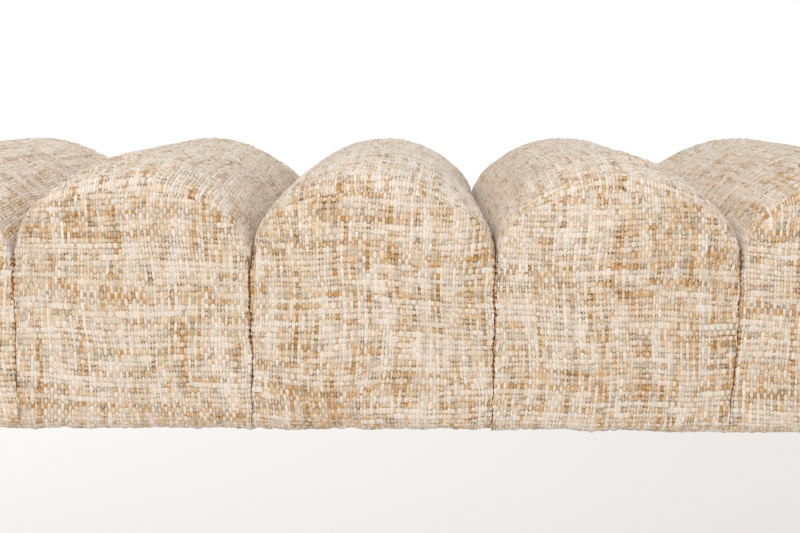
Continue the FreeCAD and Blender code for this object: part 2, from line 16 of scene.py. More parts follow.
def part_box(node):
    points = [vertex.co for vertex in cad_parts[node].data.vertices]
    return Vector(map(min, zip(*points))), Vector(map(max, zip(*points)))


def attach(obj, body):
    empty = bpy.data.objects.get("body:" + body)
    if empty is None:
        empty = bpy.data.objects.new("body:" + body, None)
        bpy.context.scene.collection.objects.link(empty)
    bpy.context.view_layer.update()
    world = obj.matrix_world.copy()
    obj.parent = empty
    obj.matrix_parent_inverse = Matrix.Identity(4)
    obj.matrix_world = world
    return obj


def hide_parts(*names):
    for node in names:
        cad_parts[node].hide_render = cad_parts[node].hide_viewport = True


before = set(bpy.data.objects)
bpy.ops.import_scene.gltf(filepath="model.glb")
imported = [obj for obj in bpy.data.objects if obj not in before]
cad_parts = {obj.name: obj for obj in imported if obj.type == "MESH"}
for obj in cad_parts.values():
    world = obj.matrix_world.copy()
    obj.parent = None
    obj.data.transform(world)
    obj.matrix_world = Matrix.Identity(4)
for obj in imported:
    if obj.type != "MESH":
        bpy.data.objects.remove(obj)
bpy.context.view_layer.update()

scene = bpy.context.scene

# %% [markdown]
# Lengths are in metres, so a millimetre gets a name of its own. Colours are written as they
# look on a screen and turned to the linear values that the renderer mixes.

# %% units, colours and nodes
MM = 0.001


def colour(code):
    """The linear colour, with alpha, of an sRGB hex code."""
    parts = [int(code[i:i + 2], 16) / 255 for i in (1, 3, 5)]
    return [c / 12.92 if c <= 0.04045 else ((c + 0.055) / 1.055) ** 2.4 for c in parts] + [1]


def add(tree, kind, inputs=None, **settings):
    """Adds one node: settings are its properties, inputs its values or links."""
    made = tree.nodes.new(kind)
    for name, setting in settings.items():
        setattr(made, name, setting)
    for key, given in (inputs or {}).items():
        if isinstance(given, bpy.types.NodeSocket):
            tree.links.new(given, made.inputs[key])
        else:
            made.inputs[key].default_value = given
    return made


def set_stops(ramp, *stops):
    """Gives a colour ramp its stops, each a place from 0 to 1 and a hex code."""
    elements = ramp.color_ramp.elements
    while len(elements) < len(stops):
        elements.new(1)
    for element, (place, code) in zip(elements, stops):
        element.position, element.color = place, colour(code)
    return ramp.outputs["Color"]


def new_material(name, **surface):
    """An empty node material with its Principled shader; surface sets plain values on it."""
    material = bpy.data.materials.new(name)
    material.use_nodes = True
    shader = material.node_tree.nodes["Principled BSDF"]
    for key, given in surface.items():
        shader.inputs[key.replace("_", " ")].default_value = given
    return material, material.node_tree, shader


# settings that many nodes share
FLAT = {"noise_dimensions": "2D"}
SUM = {"operation": "MULTIPLY_ADD"}
EASED = {"interpolation_type": "SMOOTHSTEP"}
BLEND = {"data_type": "RGBA"}
STAIN = {"data_type": "RGBA", "blend_type": "MULTIPLY"}
print("one millimetre is", MM, "m; cream is", [round(c, 3) for c in colour("#EADCCB")])

# %% [markdown]
# ## The tweed
# The cover is a plain weave of thick wool yarns: each warp yarn goes over one weft yarn and
# under the next. A picture of cloth could be pasted on, but it would not follow the seams.
# Here the weave is worked out from the cover's own map, which is in metres. The paths of the
# yarns come first: noises that are drawn out along the yarns push them together and apart,
# and one large soft noise bends the whole grain, as the stuffing does.

# %% tweed: the paths of the yarns
WARP_SPACING = 2.75 * MM                  # from one upright yarn to the next
WEFT_SPACING = 4.8 * MM                   # from one level yarn to the next
YARN_WANDER = 2.2 * MM                    # how far yarns crowd together and spread apart
WANDER_SIZES = ((6.5, 26), (32, 10))      # mm across and up, for the warp and for the weft
STREAK_SIZES = ((9, 70), (80, 13))        # the same, for streaks of shade along the yarns
GRAIN_PULL, PULL_SIZE = 11 * MM, 95 * MM  # how far the stuffing bends the grain, and in what size


def yarn_paths(tree, cloth):
    """The cloth's map with its yarns out of line, and the streaks of the warp and of the weft."""
    noises = []
    for across, up in WANDER_SIZES + STREAK_SIZES:
        scale = (1 / (across * MM), 1 / (up * MM), 1)
        lanes = add(tree, "ShaderNodeVectorMath", {0: cloth, 1: scale}, operation="MULTIPLY").outputs[0]
        drawn = add(tree, "ShaderNodeTexNoise", {"Vector": lanes, "Scale": 1.0, "Detail": 1.0}, **FLAT)
        noises.append(drawn.outputs["Fac"])
    stray = add(tree, "ShaderNodeCombineXYZ", {"X": noises[0], "Y": noises[1]}).outputs[0]
    pull = add(tree, "ShaderNodeTexNoise", {"Vector": cloth, "Scale": 1 / PULL_SIZE, "Detail": 0.0}, **FLAT)
    pulled = add(tree, "ShaderNodeVectorMath",
                 {0: pull.outputs["Color"], 1: (GRAIN_PULL,) * 3, 2: cloth}, **SUM).outputs[0]
    strayed = add(tree, "ShaderNodeVectorMath",
                  {0: stray, 1: (YARN_WANDER,) * 3, 2: pulled}, **SUM).outputs[0]
    return strayed, noises[2:]


print(f"{10 * MM / WARP_SPACING:.1f} warps and {10 * MM / WEFT_SPACING:.1f} wefts to the centimetre")

# %% [markdown]
# A plain weave is a chessboard. A place divided by the spacing has a whole part, which says
# which yarn this is, and a rest, which says how far the middle of that yarn is. Where the
# numbers of warp and weft add up to an even sum, the warp is on top.

# %% tweed: the crossings
WARP_LANE, WEFT_LANE = 8.31, 9.17              # neighbours are looked up this far apart in a noise
WARP_LENGTH, WEFT_LENGTH = 30 * MM, 34 * MM    # and along a yarn the noise is measured in these


def crossings(tree, strayed):
    """What each point knows of the two yarns that cross there, by name."""
    place = add(tree, "ShaderNodeSeparateXYZ", {0: strayed}).outputs
    known = {"u": place["X"], "v": place["Y"]}
    steps = [
        # which warp and weft cross here, and how far from the middle of each
        ("warp_at", "DIVIDE", "u", WARP_SPACING), ("weft_at", "DIVIDE", "v", WEFT_SPACING),
        ("warp", "FLOOR", "warp_at"), ("weft", "FLOOR", "weft_at"),
        ("warp_part", "FRACT", "warp_at"), ("weft_part", "FRACT", "weft_at"),
        ("warp_off", "SUBTRACT", "warp_part", 0.5), ("weft_off", "SUBTRACT", "weft_part", 0.5),
        # +1 where the warp lies on top, -1 where the weft does, with a wave between
        ("both", "ADD", "warp", "weft"), ("odd", "FLOORED_MODULO", "both", 2.0),
        ("over", "MULTIPLY_ADD", "odd", -2.0, 1.0),
        ("weft_turn", "MULTIPLY", "weft_off", math.pi), ("weft_wave", "COSINE", "weft_turn"),
        ("warp_turn", "MULTIPLY", "warp_off", math.pi), ("warp_wave", "COSINE", "warp_turn"),
        ("warp_rise", "MULTIPLY", "over", "weft_wave"), ("weft_rise", "MULTIPLY", "over", "warp_wave"),
        # where each yarn is looked up along its own length
        ("warp_lane", "MULTIPLY", "warp", WARP_LANE), ("weft_lane", "MULTIPLY", "weft", WEFT_LANE),
        ("warp_along", "DIVIDE", "v", WARP_LENGTH), ("weft_along", "DIVIDE", "u", WEFT_LENGTH),
    ]
    for name, operation, *terms in steps:
        inputs = {i: known.get(term, term) for i, term in enumerate(terms)}
        known[name] = add(tree, "ShaderNodeMath", inputs, operation=operation).outputs[0]
    return known


print(f"the weave repeats after {2 * WARP_SPACING / MM:.1f} by {2 * WEFT_SPACING / MM:.1f} mm")

# %% [markdown]
# Then the yarns are spun. A yarn's girth, height and shade change along its length, and here
# and there it has a slub: a length that was spun thick and loose, and stands out pale.

# %% tweed: one yarn
YARN_NOISES = {"tone": 0.2, "fleck": 8.0, "fullness": 2.3, "looseness": 0.9}   # how fast each changes
SLUB_GAIN, SLUB_START = 5.0, -3.3              # only the peaks of the looseness become slubs
GIRTH_CHANGE, SLUB_GIRTH = 1.3, 0.8            # what fullness and a slub add to a yarn's girth
HEIGHT_SHARES = {"fullness": 0.9, "tone": 0.75, "bulge": 1.3}
SHADE_SHARES = {"tone": 0.8, "fleck": 0.5, "fullness": 0.3, "patches": 0.12,
                "warp_streak": 0.25, "weft_streak": 0.2, "own_streak": 0.25, "bulge": 0.6}
SHADE_START = -0.70                            # brings the sum of these shares into the ramps


def spin(tree, known, yarn, girth, lift):
    """The height, the shade and the roundness of the warp or the weft, by name."""
    lane = add(tree, "ShaderNodeCombineXYZ", {"X": known[yarn + "_lane"], "Y": known[yarn + "_along"]})
    own = {**known, "off": known[yarn + "_off"], "own_streak": known[yarn + "_streak"]}
    for name, scale in YARN_NOISES.items():
        inputs = {"Vector": lane.outputs[0], "Scale": scale, "Detail": 1.0}
        own[name] = add(tree, "ShaderNodeTexNoise", inputs, **FLAT).outputs["Fac"]
    rows = [
        ("loose", "MULTIPLY_ADD", "looseness", SLUB_GAIN, SLUB_START), ("bulge", "MAXIMUM", "loose", 0.0),
        ("girth", "MULTIPLY_ADD", "fullness", GIRTH_CHANGE, girth - GIRTH_CHANGE / 2),
        ("girth_here", "MULTIPLY_ADD", "bulge", SLUB_GIRTH, "girth"),
        # 1 along the middle of the yarn, 0 along its two sides
        ("spread", "DIVIDE", "off", "girth_here"), ("fall", "MULTIPLY", "spread", "spread"),
        ("round", "MULTIPLY_ADD", "fall", -4.0, 1.0),
    ]
    for name, operation, *terms in rows:
        inputs = {i: own.get(term, term) for i, term in enumerate(terms)}
        own[name] = add(tree, "ShaderNodeMath", inputs, operation=operation).outputs[0]
    height, shade = own["round"], SHADE_START
    for name, share in {**HEIGHT_SHARES, yarn + "_rise": lift}.items():
        height = add(tree, "ShaderNodeMath", {0: own[name], 1: share, 2: height}, **SUM).outputs[0]
    for name, share in SHADE_SHARES.items():
        shade = add(tree, "ShaderNodeMath", {0: own[name], 1: share, 2: shade}, **SUM).outputs[0]
    return {"height": height, "shade": shade, "round": own["round"]}


print("a yarn's shade is made of", ", ".join(SHADE_SHARES))

# %% [markdown]
# The wool has two families of colour, a warm one from caramel to cream and a cool one from
# brown-grey to pale grey, that change from patch to patch. The gaps between yarns and the
# sides of a yarn get painted shade, and loose fibres break everything up.

# %% tweed: its colours
WARM_WOOL = ((0.20, "#C2955C"), (0.33, "#DAB388"), (0.43, "#E6C9A7"),
             (0.52, "#EDD8BE"), (0.61, "#F1E1CE"), (0.74, "#F6EADD"))
COOL_WOOL = ((0.20, "#B89E7A"), (0.34, "#CFBCA2"), (0.43, "#DBCBB7"),
             (0.52, "#E4D6C4"), (0.61, "#EBDECF"), (0.74, "#F2E8DC"))
# painted shade: a brown for the gaps between the yarns, and a caramel brown for the creases
GAP_SHADE_BROWN, CREASE_SHADE_BROWN = "#8E6E3E", "#E09A3C"
FIBRE_SIZE, FIBRE_SHARE = 0.9 * MM, 0.7        # single fibres, drawn coarse enough to show


def wool_colour(tree, hue, height, shown, fibres):
    """The colour of the yarns on top, with painted shade in the gaps between them and along their sides."""
    warm, cool = (set_stops(add(tree, "ShaderNodeValToRGB", {"Fac": shown["shade"]}), *stops)
                  for stops in (WARM_WOOL, COOL_WOOL))
    wool = add(tree, "ShaderNodeMix", {0: hue, 6: warm, 7: cool}, **BLEND).outputs[2]
    # painted shade: where the yarns lie low, in the gaps between them, the colour is darkened with a brown
    gaps = add(tree, "ShaderNodeMapRange", {"Value": height, "From Min": 0.5, "From Max": 1.8,
                                            "To Min": 1.0, "To Max": 0.0}, **EASED).outputs[0]
    # the side of a yarn turns away from the light, which draws a fine dark line round each float
    sides = add(tree, "ShaderNodeMapRange", {"Value": shown["round"], "From Min": 0.0, "From Max": 0.6,
                                             "To Min": 0.3, "To Max": 0.0}, **EASED).outputs[0]
    depth = add(tree, "ShaderNodeMath", {0: gaps, 1: sides}, operation="MAXIMUM").outputs[0]
    shaded = add(tree, "ShaderNodeMix", {0: depth, 6: wool, 7: colour(GAP_SHADE_BROWN)}, **STAIN).outputs[2]
    fleece = set_stops(add(tree, "ShaderNodeValToRGB", {"Fac": fibres}), (0.3, "#D2CBC2"), (0.6, "#FFFFFF"))
    return add(tree, "ShaderNodeMix", {0: FIBRE_SHARE, 6: shaded, 7: fleece}, **STAIN).outputs[2]


def painted_crease_share(tree, height, hue):
    """How much painted crease shade a point gets; the yarns give the painted shade a ragged edge."""
    gap = add(tree, "ShaderNodeAttribute", attribute_name="crease_gap").outputs["Fac"]
    for ragged, depth in ((height, 1.1 * MM), (hue, 0.8 * MM)):
        gap = add(tree, "ShaderNodeMath", {0: ragged, 1: depth, 2: gap}, **SUM).outputs[0]
    shade = {"Value": gap, "From Min": 1.6 * MM, "From Max": 3.8 * MM, "To Min": 0.65, "To Max": 0.0}
    return add(tree, "ShaderNodeMapRange", shade, **EASED).outputs[0]


print(len(WARM_WOOL), "shades of warm wool and", len(COOL_WOOL), "of cool wool")

# %% [markdown]
# Last, the tweed is put together. The higher of the two yarns shows. Pale fuzz stands
# off the wool and shows where the cloth is seen from the side; dark yarns are harder spun and
# have less of it, so they show as flecks on the tops. Sheen gives this bloom. In a crease the
# cloth gets a painted caramel-brown shade, which stands for the shade there and the light its
# own colour throws about, and the bloom is taken away there.

# %% tweed, woven
PATCH_SIZE, HUE_SIZE = 26 * MM, 11 * MM        # patches of shade, and of warm and cool wool
WARP_GIRTH, WEFT_GIRTH = 1.04, 0.76            # share of the spacing that a yarn fills
YARN_LIFT = 0.8                                # how far a yarn rises and dips at a crossing
BLOOM = 0.9                                    # weight of the pale fuzz
RELIEF, FIBRE_RELIEF = 0.55 * MM, 0.5          # depth of the weave, and share of single fibres


def tweed():
    """Wool tweed, woven: matt yarns with dark gaps between them and a soft bloom at the edge."""
    material, tree, shader = new_material(
        "wool_tweed_woven", Roughness=0.92, Specular_IOR_Level=0.15,
        Sheen_Roughness=0.4, Sheen_Tint=colour("#F2F0EE"))
    cloth = add(tree, "ShaderNodeUVMap", uv_map="cloth").outputs["UV"]
    strayed, (warp_streak, weft_streak) = yarn_paths(tree, cloth)
    noises = []
    for on, size, detail in ((cloth, PATCH_SIZE, 3.0), (strayed, HUE_SIZE, 1.0), (cloth, FIBRE_SIZE, 2.0)):
        inputs = {"Vector": on, "Scale": 1 / size, "Detail": detail}
        noises.append(add(tree, "ShaderNodeTexNoise", inputs, **FLAT).outputs["Fac"])
    patches, hue, fibres = noises
    hue = add(tree, "ShaderNodeMapRange", {"Value": hue, "From Min": 0.46, "From Max": 0.66}).outputs[0]
    known = crossings(tree, strayed)
    known.update(patches=patches, warp_streak=warp_streak, weft_streak=weft_streak)
    warp = spin(tree, known, "warp", WARP_GIRTH, YARN_LIFT)
    weft = spin(tree, known, "weft", WEFT_GIRTH, -YARN_LIFT)
    heights = {0: warp["height"], 1: weft["height"]}
    warp_shows = add(tree, "ShaderNodeMath", heights, operation="GREATER_THAN").outputs[0]
    height = add(tree, "ShaderNodeMath", heights, operation="MAXIMUM").outputs[0]
    shown = {}
    for what in ("shade", "round"):
        either = {0: warp_shows, 2: weft[what], 3: warp[what]}
        shown[what] = add(tree, "ShaderNodeMix", either, data_type="FLOAT").outputs[0]
    wool = wool_colour(tree, hue, height, shown, fibres)
    crease = painted_crease_share(tree, height, hue)
    # painted shade: the creases are darkened to a caramel brown, and below their sheen is taken away
    crease_shaded = add(tree, "ShaderNodeMix", {0: crease, 6: wool, 7: colour(CREASE_SHADE_BROWN)}, **STAIN).outputs[2]
    tree.links.new(crease_shaded, shader.inputs["Base Color"])
    bloom = add(tree, "ShaderNodeMapRange", {"Value": crease, "From Min": 0.0, "From Max": 0.45,
                                             "To Min": BLOOM, "To Max": 0.0}).outputs[0]
    fuzz = add(tree, "ShaderNodeMapRange", {"Value": shown["shade"], "From Min": 0.25, "From Max": 0.5,
                                            "To Min": 0.55, "To Max": 1.0}).outputs[0]
    bloom = add(tree, "ShaderNodeMath", {0: bloom, 1: fuzz}, operation="MULTIPLY").outputs[0]
    tree.links.new(bloom, shader.inputs["Sheen Weight"])
    relief = add(tree, "ShaderNodeMath", {0: fibres, 1: FIBRE_RELIEF, 2: height}, **SUM).outputs[0]
    bump = add(tree, "ShaderNodeBump", {"Height": relief, "Strength": 1.0, "Distance": RELIEF})
    tree.links.new(bump.outputs["Normal"], shader.inputs["Normal"])
    return material


TWEED = tweed()
print(TWEED.name, "is made of", len(TWEED.node_tree.nodes), "nodes")

# %% [markdown]
# ## One stuffed segment
# A segment is a loaf: a front facing and a back facing with arched tops, and a band that runs
# up one side, over the arch and down the other. It could be carved from one block, but a
# sewn cover is cut from flat panels, so flat grids are bent to the loaf and sewn together
# along their edges. Every panel keeps a map in metres of the cloth it was cut from.

# %% sizes of a loaf, from the construction model
SEGMENTS = 7
low, high = (Vector(corner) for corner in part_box("seat_cover_4"))
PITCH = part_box("seat_cover_5")[0][0] - low.x
HALF_DEPTH = high.y
BASE, TOP = low.z, high.z
DECK_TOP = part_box("seat_deck")[1][2]
RAIL_FACE = -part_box("front_rail")[0][1]
ARCH_RISE, SHOULDER = 78 * MM, 58 * MM     # height of the arch, radius of its shoulders
SPRING = TOP - ARCH_RISE                   # where the straight sides end and the arch begins
FACE_ROLL, FACE_DROP = 85 * MM, 17 * MM    # over this depth the crown sinks slowly, by this much
LIP_ROLL, LIP_DROP = 11 * MM, 9 * MM       # and over the last bit it rolls down to the arched seam
SHOULDER_SHARE = 0.35                      # share of that fall by which the shoulders sink too
SHOULDER_TIGHTER = 0.12                    # share of it by which their radius shrinks
EDGE_ROUND, EDGE_TUCK = 9 * MM, 0.1 * MM   # the upright edges draw in over this depth, by this much
HEM_ROUND = 12 * MM                        # radius of the soft lower edge
HEM_REACH = 52 * MM                        # how far the cover is turned under the frame
HEM_SETTLE = 26 * MM                       # up to here above the lower edge the creases close up
TOUCH = PITCH / 2 - 0.05 * MM              # half width at which neighbours just touch
print(f"pitch {PITCH:.3f}, half depth {HALF_DEPTH:.3f}, from {BASE:.3f} up to {TOP:.3f}")

# %% the arch and its rolled edges, as formulas


def arch(share, half, rise, shoulder):
    """The point at a share of the arch's length, from the left spring to the right one."""
    crown = ((half - shoulder) ** 2 + rise ** 2 - shoulder ** 2) / (2 * (rise - shoulder))
    lean = math.atan2(half - shoulder, crown - rise)
    turn, top = shoulder * (math.pi / 2 - lean), 2 * crown * lean
    along = share * (2 * turn + top)
    if turn < along < turn + top:
        angle = (along - turn) / crown - lean
        return crown * math.sin(angle), rise - crown + crown * math.cos(angle)
    side = -1 if along <= turn else 1
    angle = min(along, 2 * turn + top - along) / shoulder
    return side * (half - shoulder + shoulder * math.cos(angle)), shoulder * math.sin(angle)


def crown_drop(distance):
    """How far the crown has fallen at a distance from a facing."""
    slow, lip = max(0.0, 1 - distance / FACE_ROLL), max(0.0, 1 - distance / LIP_ROLL)
    return FACE_DROP * slow ** 2 + LIP_DROP * lip ** 2


def spring_height(distance):
    """The height at which the straight sides end, at a distance from a facing."""
    return SPRING - SHOULDER_SHARE * crown_drop(distance)


def arch_sizes(distance):
    """The rise and the shoulder radius of the arch, at a distance from a facing."""
    drop = crown_drop(distance)
    return ARCH_RISE - (1 - SHOULDER_SHARE) * drop, SHOULDER - SHOULDER_TIGHTER * drop


def base_height(distance):
    """The height of the lower edge, which is rounded where it meets a facing."""
    short = HEM_ROUND - min(distance, HEM_ROUND)
    return BASE + HEM_ROUND - math.sqrt(HEM_ROUND ** 2 - short ** 2)


def half_width(distance, height):
    """Half the loaf's width: drawn in at the facings, but closed up against the next loaf at the hem."""
    open_part = min(1.0, max(0.0, (height - BASE - HEM_ROUND) / HEM_SETTLE))
    open_part = open_part * open_part * (3 - 2 * open_part)
    tuck = EDGE_TUCK * max(0.0, 1 - distance / EDGE_ROUND) ** 2
    return TOUCH - tuck * open_part


print(f"the arched seam lies {crown_drop(0) / MM:.0f} mm below the crown")

# %% [markdown]
# The panels are plain grids from Blender's own operator. A grid's flat coordinates tell each
# vertex its column and row, and the formulas put it on the loaf. Panels that share an edge
# work it out alike, so merging doubles sews them together. Stations are the depths at which
# the band has a row of points; they lie closer together at the facings.

# %% rows, columns and stations
SIDE_ROWS, ARCH_COLUMNS = 38, 60           # squares up a straight side, and over the arch
ROW_CROWDING = 0.25                        # how much closer the rows lie near the arch
NEAR_STATIONS = [d * MM for d in (0, 2.5, 5, 8.5, 12.5, 17, 22, 27.5, 33.5, 39.5, 45.5)] + [HEM_REACH]
INNER_DEPTH, INNER_STEP = 2 * (HALF_DEPTH - HEM_REACH), 13.5 * MM
INNER_COUNT = round(INNER_DEPTH / INNER_STEP)
STATIONS = (NEAR_STATIONS + [HEM_REACH + INNER_DEPTH * k / INNER_COUNT for k in range(1, INNER_COUNT)]
            + [2 * HALF_DEPTH - d for d in reversed(NEAR_STATIONS)])
HEM_ROWS = len(NEAR_STATIONS) - 1
BAND_COLUMNS = 2 * SIDE_ROWS + ARCH_COLUMNS


def side_height(row, distance):
    """The height of a row of squares on a straight side."""
    part = row / SIDE_ROWS
    base = base_height(distance)
    climb = (1 + ROW_CROWDING) * part - ROW_CROWDING * part ** 4
    return base + (spring_height(distance) - base) * climb


print(len(STATIONS), "stations in depth,", HEM_ROWS, "rows of hem,", BAND_COLUMNS, "columns of band")

# %% panels of one cover


def band_point(column, row):
    """A point of the band, which goes up the left side, over the arch and down the right side."""
    distance = min(STATIONS[row], 2 * HALF_DEPTH - STATIONS[row])
    y = STATIONS[row] - HALF_DEPTH
    climb = min(column, BAND_COLUMNS - column)
    if climb <= SIDE_ROWS:
        height = side_height(climb, distance)
        side = -1 if column <= SIDE_ROWS else 1
        return Vector((side * half_width(distance, height), y, height))
    share = (column - SIDE_ROWS) / ARCH_COLUMNS
    x, z = arch(share, half_width(distance, SPRING), *arch_sizes(distance))
    return Vector((x, y, spring_height(distance) + z))


def facing_point(column, row, face):
    """A point of a facing, -1 for the front and 1 for the back; its first rows are turned under."""
    climb = row - HEM_ROWS
    distance = STATIONS[max(0, -climb)]
    x, z = arch(column / ARCH_COLUMNS, half_width(0, SPRING), *arch_sizes(0))
    edge = side_height(max(climb, 0), distance)
    share = (edge - base_height(distance)) / (spring_height(0) - base_height(distance))
    x = x * half_width(distance, edge) / half_width(0, SPRING)
    return Vector((x, face * (HALF_DEPTH - distance), edge + z * share))


def end_hem_point(column, row, side):
    """A point of the strip that is turned under at an end of the bench."""
    y = STATIONS[HEM_ROWS + row] - HALF_DEPTH
    return Vector((side * (half_width(HEM_REACH, BASE) - STATIONS[column]), y, BASE))


def add_panel(bm, columns, rows, place, cloth):
    """Adds a grid, bends it with place(column, row) and maps it to its cloth with cloth(column, row)."""
    verts = bmesh.ops.create_grid(bm, x_segments=columns, y_segments=rows, size=0.5)["verts"]
    spots = {v: (round((v.co.x + 0.5) * columns), round((v.co.y + 0.5) * rows)) for v in verts}
    for loop in {l for v in verts for l in v.link_loops}:
        loop[bm.loops.layers.uv["cloth"]].uv = cloth(*spots[loop.vert])
    for v, spot in spots.items():
        v.co = place(*spot)


MIDDLE_ROW = len(STATIONS) // 2
GIRTH = np.cumsum([0.0] + [(band_point(c + 1, MIDDLE_ROW) - band_point(c, MIDDLE_ROW)).length
                           for c in range(BAND_COLUMNS)])
print(f"the band is {GIRTH[-1]:.3f} m round and {2 * HALF_DEPTH:.3f} m deep")

# %% [markdown]
# Inside the bench a cover has no side where the timber frame is, so the faces there are cut
# away. Near the hem the upright seams stay sharp, so that two covers close up there.

# %% sewing one cover
FACING_CLOTH = 0.6                         # where on the cloth the facings are cut, in metres
SEW_DISTANCE = 0.02 * MM                   # points closer than this are sewn together
STEEP = 0.7                                # a face that looks sideways by this share is a side
SEAM_ANGLE = 1.0                           # radians; at a seam the panels meet in a sharper bend


def on_frame(face, bench_end):
    """Whether a side face lies against the timber frame."""
    middle = face.calc_center_median()
    at_frame = middle.z < DECK_TOP and abs(middle.y) < RAIL_FACE
    return abs(face.normal.x) > STEEP and at_frame and middle.x * bench_end <= 0


def sew_cover(bench_end):
    """One cover, sewn from its panels; bench_end is -1 or 1 at the bench's left or right end, else 0."""
    bm = bmesh.new()
    bm.loops.layers.uv.new("cloth")
    last_row = len(STATIONS) - 1
    add_panel(bm, BAND_COLUMNS, last_row, band_point, lambda c, r: (GIRTH[c], STATIONS[r]))
    for face in (-1, 1):
        add_panel(bm, ARCH_COLUMNS, HEM_ROWS + SIDE_ROWS, lambda c, r: facing_point(c, r, face),
                  lambda c, r: (facing_point(c, r, face).x + FACING_CLOTH,
                                facing_point(c, r, face).z - STATIONS[max(0, HEM_ROWS - r)]))
    if bench_end:
        add_panel(bm, HEM_ROWS, last_row - 2 * HEM_ROWS, lambda c, r: end_hem_point(c, r, bench_end),
                  lambda c, r: (STATIONS[c], STATIONS[r]))
    bmesh.ops.remove_doubles(bm, verts=bm.verts, dist=SEW_DISTANCE)
    bm.normal_update()
    bmesh.ops.delete(bm, geom=[f for f in bm.faces if on_frame(f, bench_end)], context="FACES")
    bmesh.ops.recalc_face_normals(bm, faces=bm.faces)
    top = max(bm.faces, key=lambda f: f.calc_center_median().z)
    if top.normal.z < 0:
        bmesh.ops.reverse_faces(bm, faces=bm.faces)
    sharp = bm.edges.layers.float.new("crease_edge")
    for edge in bm.edges:
        middle = (edge.verts[0].co + edge.verts[1].co) / 2
        inner_side = abs(middle.x) > TOUCH - 1 * MM and middle.x * bench_end <= 0
        if inner_side and len(edge.link_faces) == 2 and edge.calc_face_angle() > SEAM_ANGLE:
            edge[sharp] = min(1.0, max(0.0, 1 - (middle.z - BASE - HEM_ROUND) / HEM_SETTLE))
    return bm


print(f"a cover is turned under by {HEM_REACH / MM:.0f} mm")

# %% [markdown]
# ## Stuffing the covers
# Stuffing presses a cover outwards from inside, so its panels swell between the seams that
# hold them. A cloth simulation with pressure does the same: the seams, the hem and the edges
# on the frame are pinned, and the panels between them are blown up for twenty frames. How
# far a point may move is capped.

# %% swelling by cloth pressure
PRESSURE, STEPS = 4.0, 20
STIFFNESS, BENDING = 25, 2                 # thick wool hardly stretches
FACING_CAP, BAND_CAP = 7 * MM, 5 * MM      # no point moves further than this
ON_FACE, SAME_SPOT = 0.01 * MM, 0.05 * MM  # points this close are on a facing, or in one place


def read_points(mesh, what="co"):
    """An array of the places, or the normals, of a mesh's points."""
    numbers = np.zeros(3 * len(mesh.vertices))
    mesh.vertices.foreach_get(what, numbers)
    return numbers.reshape(-1, 3)


def on_facing(points):
    """A mask of the points that lie on the front or the back facing."""
    return np.abs(np.abs(points[:, 1]) - HALF_DEPTH) < ON_FACE


def held_points(points, mesh):
    """A mask of the points that the simulation holds: seams, hem and the cover's free edges."""
    ends = (0, len(STATIONS) - 1)
    seams = np.array([band_point(c, r) for c in range(BAND_COLUMNS + 1) for r in ends])
    held = points[:, 2] < BASE + HEM_ROUND
    for k in np.nonzero(on_facing(points))[0]:
        held[k] |= np.min(np.abs(seams - points[k]).sum(axis=1)) < SAME_SPOT
    edges = np.array([e.vertices[:] for e in mesh.edges])
    counts = np.zeros(len(mesh.edges), int)
    np.add.at(counts, np.array([l.edge_index for l in mesh.loops]), 1)
    held[np.unique(edges[counts == 1])] = True
    return held


def swell(piece):
    """Blows a cover up with the cloth simulation; returns its points before and after, capped."""
    rest = read_points(piece.data)
    pins = piece.vertex_groups.new(name="pins")
    pins.add([int(k) for k in np.nonzero(held_points(rest, piece.data))[0]], 1.0, "REPLACE")
    cloth = piece.modifiers.new("stuffing", "CLOTH")
    cloth.settings.vertex_group_mass = "pins"
    cloth.settings.use_pressure = True
    cloth.settings.uniform_pressure_force = PRESSURE
    cloth.settings.effector_weights.gravity = 0
    cloth.settings.tension_stiffness = cloth.settings.compression_stiffness = STIFFNESS
    cloth.settings.bending_stiffness = BENDING
    cloth.point_cache.frame_start, cloth.point_cache.frame_end = 1, STEPS
    for step in range(1, STEPS + 1):
        scene.frame_set(step)
    shown = piece.evaluated_get(bpy.context.evaluated_depsgraph_get())
    move = read_points(shown.data) - rest
    piece.modifiers.remove(cloth)
    piece.vertex_groups.clear()
    scene.frame_set(1)
    far = np.linalg.norm(move, axis=1)
    cap = np.where(on_facing(rest), FACING_CAP, BAND_CAP)
    kept = cap * np.tanh(far / cap)
    move *= (kept / np.maximum(far, 1e-9))[:, None]
    print(f"  moved up to {far.max() / MM:.1f} mm, kept {kept.max() / MM:.1f} mm")
    return rest, rest + move


print(f"a facing may swell by {FACING_CAP / MM:.0f} mm, the band by {BAND_CAP / MM:.0f} mm")

# %% [markdown]
# Solidify gives the swollen cover its wall of cloth and wadding, and a Subdivision Surface
# makes it smooth. Both are applied before any marks are made, so that the marks can be as
# fine as the yarns. Three patterns are enough: an inner cover, the cover of the left end, and
# that one mirrored for the right end.

# %% three patterns
WALL = 4 * MM   # cover and wadding together


def cover_piece(name, bench_end):
    """A swollen cover: its fine mesh, its points before and after, and a mask of the outer ones."""
    bm = sew_cover(bench_end)
    mesh = bpy.data.meshes.new(name)
    bm.to_mesh(mesh)
    bm.free()
    piece = bpy.data.objects.new(name, mesh)
    scene.collection.objects.link(piece)
    rest, blown = swell(piece)
    inside = piece.vertex_groups.new(name="inside")
    wall = piece.modifiers.new("padding", "SOLIDIFY")
    wall.thickness, wall.offset, wall.shell_vertex_group = WALL, -1, inside.name
    smooth = piece.modifiers.new("softness", "SUBSURF")
    smooth.levels = smooth.render_levels = 1
    finer = []
    for points in (rest, blown):
        mesh.vertices.foreach_set("co", points.ravel())
        mesh.update()
        shown = piece.evaluated_get(bpy.context.evaluated_depsgraph_get())
        finer.append(read_points(shown.data))
    fine_mesh = bpy.data.meshes.new_from_object(shown)
    outer = np.array([sum(g.weight for g in v.groups) < 0.5 for v in fine_mesh.vertices])
    bpy.data.objects.remove(piece)
    return fine_mesh, *finer, outer


def mirrored(fine_mesh, rest, blown, outer):
    """The same cover for the other end of the bench."""
    other = fine_mesh.copy()
    other.flip_normals()
    return other, rest * (-1, 1, 1), blown * (-1, 1, 1), outer


